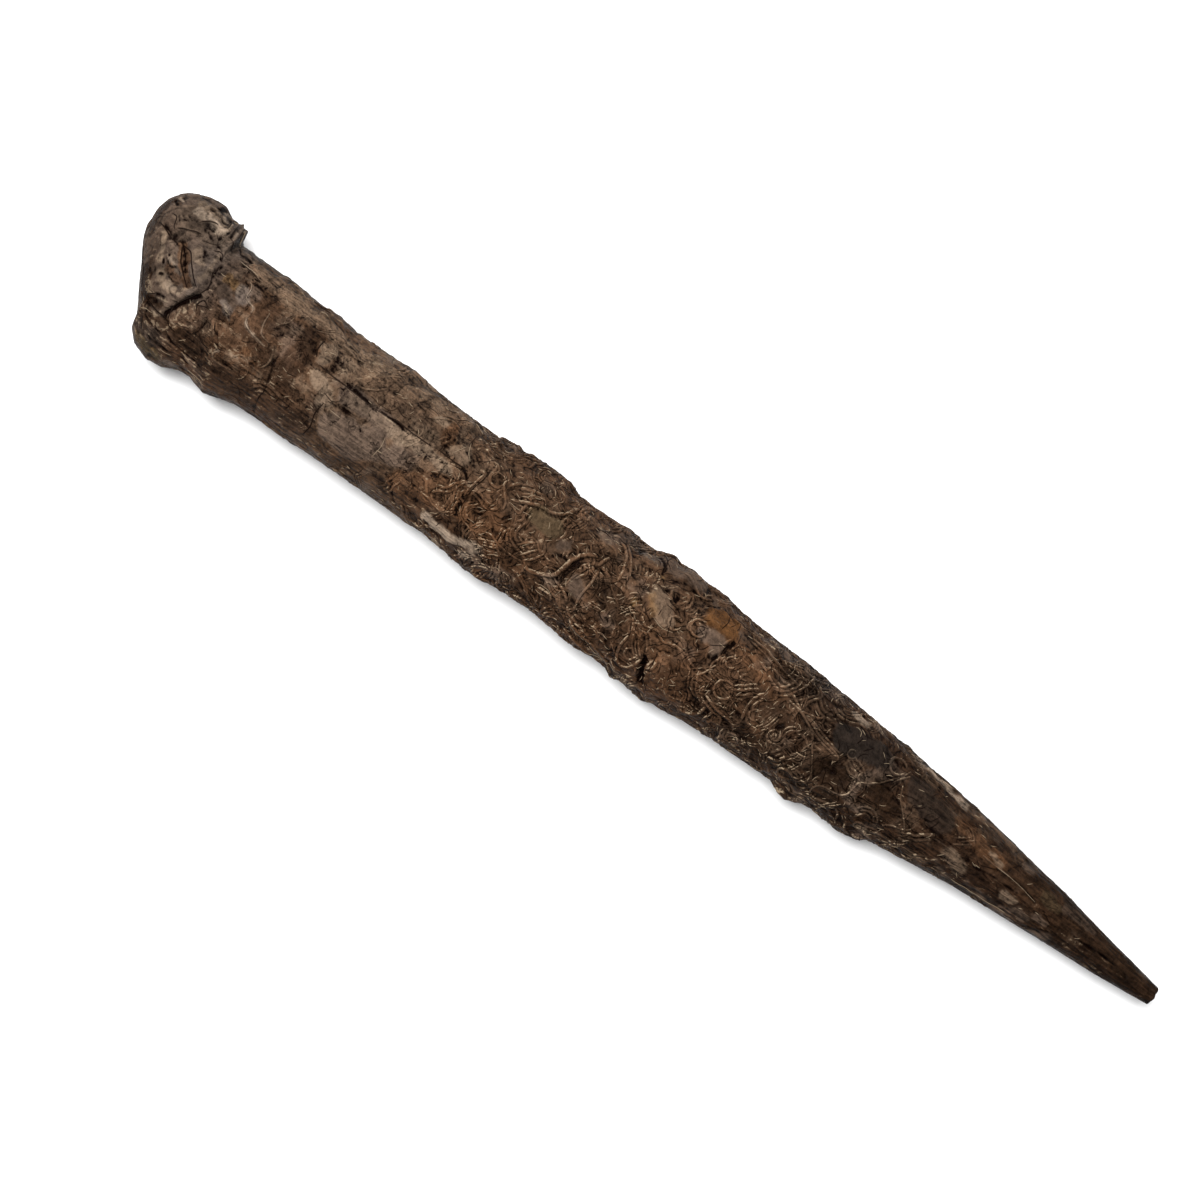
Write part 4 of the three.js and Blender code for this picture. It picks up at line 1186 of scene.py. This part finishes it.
def calcite(name, crest_paling):
    """The guard's finish. Its last argument is how much of each crest is painted pale, as wear and glints."""
    finish = Finish(name)

    # Grain, flakes, winding ridges, fibres and chips, each as strong as the skin has it there.
    smooth = finish.attribute("bare")
    crust = finish.attribute("crust")
    overgrown = finish.product(crust, finish.math("SUBTRACT", 1.0, smooth))
    fibrous = finish.attribute("fibre")
    flaky = finish.attribute("flaking")
    grain = finish.noise(*GRAIN_NOISE)
    height = finish.ramp(grain, *GRAIN_RAMP)
    for size, bound, drop in FLAKES:
        sheet = finish.noise(size, *FLAKE_DETAIL)
        left = finish.ramp(sheet, bound, bound + FLAKE_RIM)
        near = finish.ramp(sheet, bound - FLAKE_FOOT, bound)
        foot = finish.product(near, finish.math("SUBTRACT", 1.0, left))
        flat = finish.math("MULTIPLY_ADD", left, FLAKE_TOP - FLAKE_FLOOR, FLAKE_FLOOR)
        step = finish.math("MULTIPLY_ADD", foot, FLAKE_GUTTER, flat)
        height = finish.math("MULTIPLY_ADD", step, finish.product(flaky, drop), height)
    ridges = finish.ridges(finish.millimetres)
    fibres = finish.ramp(finish.noise(*FIBRE_NOISE, along=finish.fibres), *FIBRE_RAMP)
    chips = finish.ramp(finish.noise(*CHIP_NOISE, along=finish.chips), *CHIP_RAMP)
    for pattern, strength in ((ridges, overgrown), (fibres, fibrous), (chips, flaky)):
        height = finish.math("MULTIPLY_ADD", pattern, strength, height)
    finish.relief(height, RELIEF_DEPTH)

    # Ridges and grains face the painted light where they are higher here than a small way towards it; this
    # paints highlight on one side of each and shade on the other.
    lightward = finish.vector_math("ADD", {0: finish.millimetres, 1: LIGHTWARD})
    ridge_slope = finish.math("SUBTRACT", ridges, finish.ridges(lightward))
    grain_slope = finish.math("SUBTRACT", grain, finish.noise(*GRAIN_NOISE, along=lightward))
    slope = finish.math("MULTIPLY_ADD", grain_slope, GRAIN_TILT, finish.product(ridge_slope, overgrown))
    facing = finish.math("MULTIPLY_ADD", slope, TILT, finish.attribute("facing"))

    # What lies low gets painted shade and, lowest of all, dark dirt and more painted shade. What faces away
    # from the lamp gets painted shade, and crests that face it are painted pale, as wear and glints.
    # rise is about 0 where the skin is level, more on a crest and less in a hollow or a crack.
    proud = finish.product(finish.attribute("proud"), PROUD_SHARE)
    rise = finish.math("MULTIPLY_ADD", height, RELIEF_SHARE, proud)
    rise = finish.math("MULTIPLY_ADD", finish.attribute("cracks"), CRACK_SHARE, rise)
    colour = finish.mixed(finish.attribute("lime"), finish.attribute("stain", "Color"), LIME)
    mottle = finish.ramp(finish.noise(*MOTTLE_NOISE), *MOTTLE_RAMP)
    mottling = finish.math("MULTIPLY_ADD", smooth, PLATE_MOTTLING, 1.0)
    colour = finish.brightened(colour, finish.math("MULTIPLY_ADD", mottle, mottling, 1.0))
    # Painted shade in hollows and painted highlight on crests.
    colour = finish.brightened(colour, finish.ramp(rise, *CAVITY_SHADING_RAMP))
    # Dark dirt and painted shade in the lowest places.
    colour = finish.mixed(finish.ramp(rise, *DIRT_AND_SHADE_RAMP), colour, DARK_DIRT_AND_SHADE)
    # Painted shade on what faces away from the lamp.
    colour = finish.brightened(colour, finish.ramp(facing, *LAMP_SIDE_SHADING_RAMP))
    # Wear and painted glints: crests that face the lamp are turned pale.
    dashes = finish.ramp(finish.noise(*DASH_NOISE), *DASH_RAMP)
    crest = finish.product(finish.ramp(rise, *CREST_RAMP), finish.ramp(facing, *LAMP_SIDE_GLINT_RAMP), dashes, crest_paling,
                           finish.ramp(smooth, *PLATE_RAMP), finish.ramp(crust, *CRUST_RAMP))
    colour = finish.mixed(crest, colour, PALE_WEAR_AND_GLINT)
    finish.satin(colour, finish.ramp(grain, *SHEEN_RAMP))
    return finish.material


GUARD_CREST_PALING = 0.8
guard_mesh.materials.append(calcite("stained_calcite", GUARD_CREST_PALING))
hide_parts("guard")
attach(guard, "root")


# ---------------------------------------------------------------------------------------------------------
# Worm tubes: their walls
# Each tube is a round wall of lime with fine growth rings. The sweep along the routes is by Geometry Nodes,
# and the tubes are kept in a few pieces, by the side of the guard that they lie on.
TUBE_SIZES = {"Step": 0.38 * MM, "Ring spacing": 0.8 * MM, "Ring depth": 0.12, "Sides": 6}
TUBE_LIME = [(0, 0.1), (60, 0), (112, 0.02), (130, 0.06), (200, 0.1)]  # share of lime, by mm from the head
TUBES_CREST_PALING = 0.7
GUARD_SIDES = ("left_flank", "left_back", "right_back", "right_flank", "right_belly", "left_belly")


def tube_sweep(material):
    """A node tree that sweeps a round wall along curves, by their own radii. It takes lengths in metres."""
    tree = bpy.data.node_groups.new("tube_sweep", "GeometryNodeTree")
    tree.interface.new_socket("Geometry", in_out="INPUT", socket_type="NodeSocketGeometry")
    for name, size in TUBE_SIZES.items():
        kind = "NodeSocketInt" if isinstance(size, int) else "NodeSocketFloat"
        tree.interface.new_socket(name, in_out="INPUT", socket_type=kind)
    tree.interface.new_socket("Geometry", in_out="OUTPUT", socket_type="NodeSocketGeometry")
    add, link = tree.nodes.new, tree.links.new
    given, result = add("NodeGroupInput"), add("NodeGroupOutput")

    resample = add("GeometryNodeResampleCurve")
    resample.mode = "LENGTH"
    link(given.outputs["Geometry"], resample.inputs["Curve"])
    link(given.outputs["Step"], resample.inputs["Length"])

    # Between one growth ring and the next the wall swells and sinks again.
    place, phase, wave = add("GeometryNodeSplineParameter"), add("ShaderNodeMath"), add("ShaderNodeMath")
    phase.operation = "DIVIDE"
    link(place.outputs["Length"], phase.inputs[0])
    link(given.outputs["Ring spacing"], phase.inputs[1])
    wave.operation = "PINGPONG"
    link(phase.outputs[0], wave.inputs[0])
    wave.inputs[1].default_value = 0.5
    swell, grown, own = add("ShaderNodeMath"), add("ShaderNodeMath"), add("GeometryNodeInputRadius")
    swell.operation = "MULTIPLY_ADD"
    link(wave.outputs[0], swell.inputs[0])
    link(given.outputs["Ring depth"], swell.inputs[1])
    swell.inputs[2].default_value = 1.0
    grown.operation = "MULTIPLY"
    link(swell.outputs[0], grown.inputs[0])
    link(own.outputs["Radius"], grown.inputs[1])

    circle, sweep = add("GeometryNodeCurvePrimitiveCircle"), add("GeometryNodeCurveToMesh")
    link(given.outputs["Sides"], circle.inputs["Resolution"])
    circle.inputs["Radius"].default_value = 1.0
    sweep.inputs["Fill Caps"].default_value = True
    link(resample.outputs["Curve"], sweep.inputs["Curve"])
    link(circle.outputs["Curve"], sweep.inputs["Profile Curve"])
    link(grown.outputs[0], sweep.inputs["Scale"])
    realize, dress = add("GeometryNodeRealizeInstances"), add("GeometryNodeSetMaterial")
    dress.inputs["Material"].default_value = material
    link(sweep.outputs["Mesh"], realize.inputs["Geometry"])
    link(realize.outputs["Geometry"], dress.inputs["Geometry"])
    link(dress.outputs["Geometry"], result.inputs["Geometry"])
    return tree


def swept(name, threads, tree, sizes, lime):
    """A piece made of threads that a node tree sweeps. Each thread is its places in mm and its radii."""
    routes = bpy.data.curves.new(f"{name}_routes", "CURVE")
    routes.dimensions = "3D"
    for centres, radii in threads:
        spline = routes.splines.new("POLY")
        spline.points.add(len(centres) - 1)
        spline.points.foreach_set("co", np.column_stack([centres * MM, np.ones(len(centres))]).ravel())
        spline.points.foreach_set("radius", radii * MM)
    strands = bpy.data.objects.new(f"{name}_routes", routes)
    bpy.context.scene.collection.objects.link(strands)
    modifier = strands.modifiers.new("sweep", "NODES")
    modifier.node_group = tree
    for socket in tree.interface.items_tree:
        if socket.in_out == "INPUT" and socket.name in sizes:
            modifier[socket.identifier] = sizes[socket.name]
    evaluated = strands.evaluated_get(bpy.context.evaluated_depsgraph_get())
    mesh = bpy.data.meshes.new_from_object(evaluated)
    mesh.name = name
    bpy.data.objects.remove(strands)
    piece = bpy.data.objects.new(name, mesh)
    bpy.context.scene.collection.objects.link(piece)

    places = np.empty(len(mesh.vertices) * 3, np.float32)
    mesh.vertices.foreach_get("co", places)
    places = places.reshape(-1, 3)
    places[:, 2] = np.maximum(places[:, 2], 0)
    mesh.vertices.foreach_set("co", places.ravel())
    mesh.shade_smooth()
    paint(mesh, places.astype(float) / MM, lime)
    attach(piece, "root")


tube_tree = tube_sweep(calcite("tube_lime", TUBES_CREST_PALING))
for number, side in enumerate(GUARD_SIDES):
    walls = []
    for station, turn, heights, radii in tubes:
        share = (np.median(turn) / math.tau + 0.5 / len(GUARD_SIDES)) % 1
        if int(share * len(GUARD_SIDES)) == number:
            walls.append((at_height(station, turn, heights), radii))
    swept(f"worm_tubes_{side}", walls, tube_tree, TUBE_SIZES, TUBE_LIME)


# ---------------------------------------------------------------------------------------------------------
# Painted glints and seams
# Pale threads of calcite stand out of the weathered skin as painted glints, and dark threads of clay and
# painted shade lie in its hairline cracks. Both are finer than the guard's mesh can show, so each is a
# slender body with tapered ends, half sunk in it.
THREAD_SIZES = {"Step": 0.3 * MM, "Ring spacing": 1 * MM, "Ring depth": 0.0, "Sides": 4}
GLINTS, GLINT_STRIDES, GLINT_RADII = 900, (2, 4), (0.05, 0.08)  # radii in mm
SEAMS, SEAM_STRIDES, SEAM_RADII = 1100, (3, 10), (0.06, 0.1)
NAMED_GLINT, NAMED_SEAM = 0.05, 0.12  # mm, radii
GLINT_RISE, SEAM_RISE = 0.2, -0.1  # shares of the radius by which the middle stands over the skin
GLINT_SHARE, SEAM_SHARE = 0.5, 0.85  # of white or black in their colours; the rest is the guard's stain
TIP = 0.25  # share of its radius that a thread has left at its ends
POINTED_OVER = (-0.5, 1.5)  # points from a thread's tip, where it starts and stops to taper

# Routes of those that stand out. The others are strewn, mostly where the crust is thick.
NAMED_GLINTS = [
    [(15.8, 7.4), (18, 7.2), (19.6, 7.1)],
    [(50.4, -1.2), (50.7, -2.6), (50.5, -4.6)],
    [(40.6, -2.7), (43, -2.8)],
    [(13.6, -10.7), (15.6, -10.8)],
    [(16.6, -9.5), (18.4, -9.7)],
    [(19, -10.9), (22, -10.8)],
    [(7, -6.4), (8.2, -6.6), (9.4, -6.5)],
    [(90.8, -7.4), (94, -8.2), (97, -8.8), (100.4, -9.5)],
    [(92.8, -9), (97, -9.2), (102, -9)],
    [(82.9, -5.8), (84, -5.4), (85.6, -5.4), (86.4, -6.2)],
    [(83.4, -6.5), (85.2, -6.5)],
    [(77.6, -2.6), (78.3, -1.4), (79.2, -0.6)],
    [(78.4, -3.4), (79.4, -2), (80, -1.2)],
    [(68.4, -3.6), (70.8, -3.8)],
    [(72.2, 2.2), (74, 2.1), (76, 2.4)],
    [(101, 1), (103, 0.4), (105, 0.8)],
    [(116, 8), (119, 7.3), (122, 6.6)],
    [(60.4, 3.2), (61, 4.2), (61.6, 5.4)],
    [(61.8, 6.2), (62.4, 4.8), (63.4, 3.8)],
    [(168, 1.2), (172, 1), (176, 0.3)],
    [(163, -4.6), (168, -4.2), (173, -3.7)],
]
NAMED_SEAMS = [
    [(35.3, 1.9), (38, 1.7), (41, 1.7), (44, 1.6), (47, 1.55), (50, 2), (53, 1.9), (57, 2)],
    [(58.5, 2.3), (61, 2.2), (64, 2.3)],
    [(29.4, -0.3), (29.2, -1.5), (29.6, -3), (30.2, -4.6), (30.7, -6.5), (30.6, -8), (31.3, -10.3)],
    [(27.9, 2.4), (27, 1.5), (26.9, 0.3)],
    [(39.4, -2.4), (39.2, -4.6), (39.8, -6.6), (39.6, -8.4)],
    [(33.8, 5.8), (33.6, 4), (34.2, 2.6)],
    [(1.8, 5.3), (3.2, 4.9), (4.6, 4.3), (5.6, 4.2)],
    [(6.3, 4.7), (8.3, 4.3), (9.7, 2.8), (11.1, 1.4), (12.5, 0.3)],
    [(6.9, 4.2), (7.7, 2.8), (8.5, 1.7), (10.2, 0.3), (11.3, -0.6)],
    [(4.6, 6), (5.7, 6.4), (7.1, 7), (8.3, 7.3)],
    [(6.9, 8.5), (7.7, 9.1), (8.8, 9.5), (9.5, 9.6)],
    [(2.6, 7.4), (3.5, 7.3), (3.9, 6.1), (4.3, 5.7)],
    [(11.1, 12), (11, 10)],
    [(12.2, 12), (12.1, 10)],
    [(13.2, 11.8), (13.3, 10)],
    [(11.3, 6.4), (12.2, 6.7), (13, 6.4), (13.3, 5.6)],
    [(14.3, 8.7), (15.3, 8.2), (17, 8)],
    [(15.8, 7.2), (18.6, 6.9), (20.3, 6.8)],
    [(16.5, -3.5), (16.8, -4.8), (16.2, -6)],
    [(17.2, -5.4), (18.1, -6.2), (19.8, -6.3)],
    [(18.1, -2.3), (18.9, -3.4), (19.5, -3.7)],
    [(6.6, -5.1), (8.3, -5.6), (10.2, -6.1), (12.5, -6.6)],
    [(8.3, -7.6), (9.4, -9.3)],
    [(15.8, -1.1), (14.7, -0.6), (14.2, -1.7), (14.7, -2.6)],
    [(13, -0.6), (11.9, -2.6), (11.3, -4.2), (11.6, -5.6), (12.5, -6.8), (13.9, -7.3)],
    [(13.5, 4.8), (13.4, 3.4), (13.9, 2), (13.9, 0.8), (13.4, -0.2)],
    [(2, 1.4), (3, -0.2), (4.2, -1.8)],
    [(66.9, 4.6), (66.8, 3), (66.4, 1.2), (66.2, -0.6), (66.5, -3)],
    [(85.9, -3), (86.3, -1), (86.8, 0.8), (87.6, 1.8)],
    [(97, 9.6), (98, 8.4), (98.3, 7.2)],
    [(113.4, 5.4), (113.2, 3), (112.8, 1)],
]

ON_PLATES = 0.4  # how many lie on a plate, for each that would lie there without it
open_skin = eased(skin[..., 2], 0.5, 1.5) * (1 - (1 - ON_PLATES) * bare)
surface = np.maximum(top, filled)
strewn_on = (crust**1.5 * open_skin * radius).ravel()


def tapered_threads(routes, named_radius, count, strides, thin_and_thick, rise):
    """Tapered threads along the named routes and strewn over the guard, as places in mm and radii."""
    paths = [(*station_and_turn(flowing([seen(*point) for point in route], STRIDE)), named_radius)
             for route in routes]
    for start in chance.choice(strewn_on.size, count, p=strewn_on / strewn_on.sum()):
        path = wandered(start, int(chance.integers(*strides)) + 1, open_skin)
        if len(path) > 2:
            paths.append((path[:, 0], path[:, 1], chance.uniform(*thin_and_thick)))
    laid = []
    for station, turn, thickest in paths:
        radii = thickest * (TIP + (1 - TIP) * tapering(len(station), *POINTED_OVER))
        heights = look_up(surface, station, turn) + rise * radii
        laid.append((at_height(station, turn, heights), radii))
    return laid


def plain_finish(name, colour, share):
    """Satin stone of one colour, with something of the guard's stain in it."""
    finish = Finish(name)
    finish.satin(finish.mixed(share, finish.attribute("stain", "Color"), colour), SATIN_ROUGHNESS)
    return finish.material


# Painted glints: short pale threads over the skin.
glints = tapered_threads(NAMED_GLINTS, NAMED_GLINT, GLINTS, GLINT_STRIDES, GLINT_RADII,
                            GLINT_RISE)
glint_tree = tube_sweep(plain_finish("glint_white", PALE_WEAR_AND_GLINT, GLINT_SHARE))
swept("painted_glints", glints, glint_tree, THREAD_SIZES, NO_LIME)
# Dark clay and painted shade along the hairline cracks.
seams = tapered_threads(NAMED_SEAMS, NAMED_SEAM, SEAMS, SEAM_STRIDES, SEAM_RADII, SEAM_RISE)
seam_tree = tube_sweep(plain_finish("dark_clay_and_shade", DARK_DIRT_AND_SHADE, SEAM_SHARE))
swept("clay_seams", seams, seam_tree, THREAD_SIZES, NO_LIME)
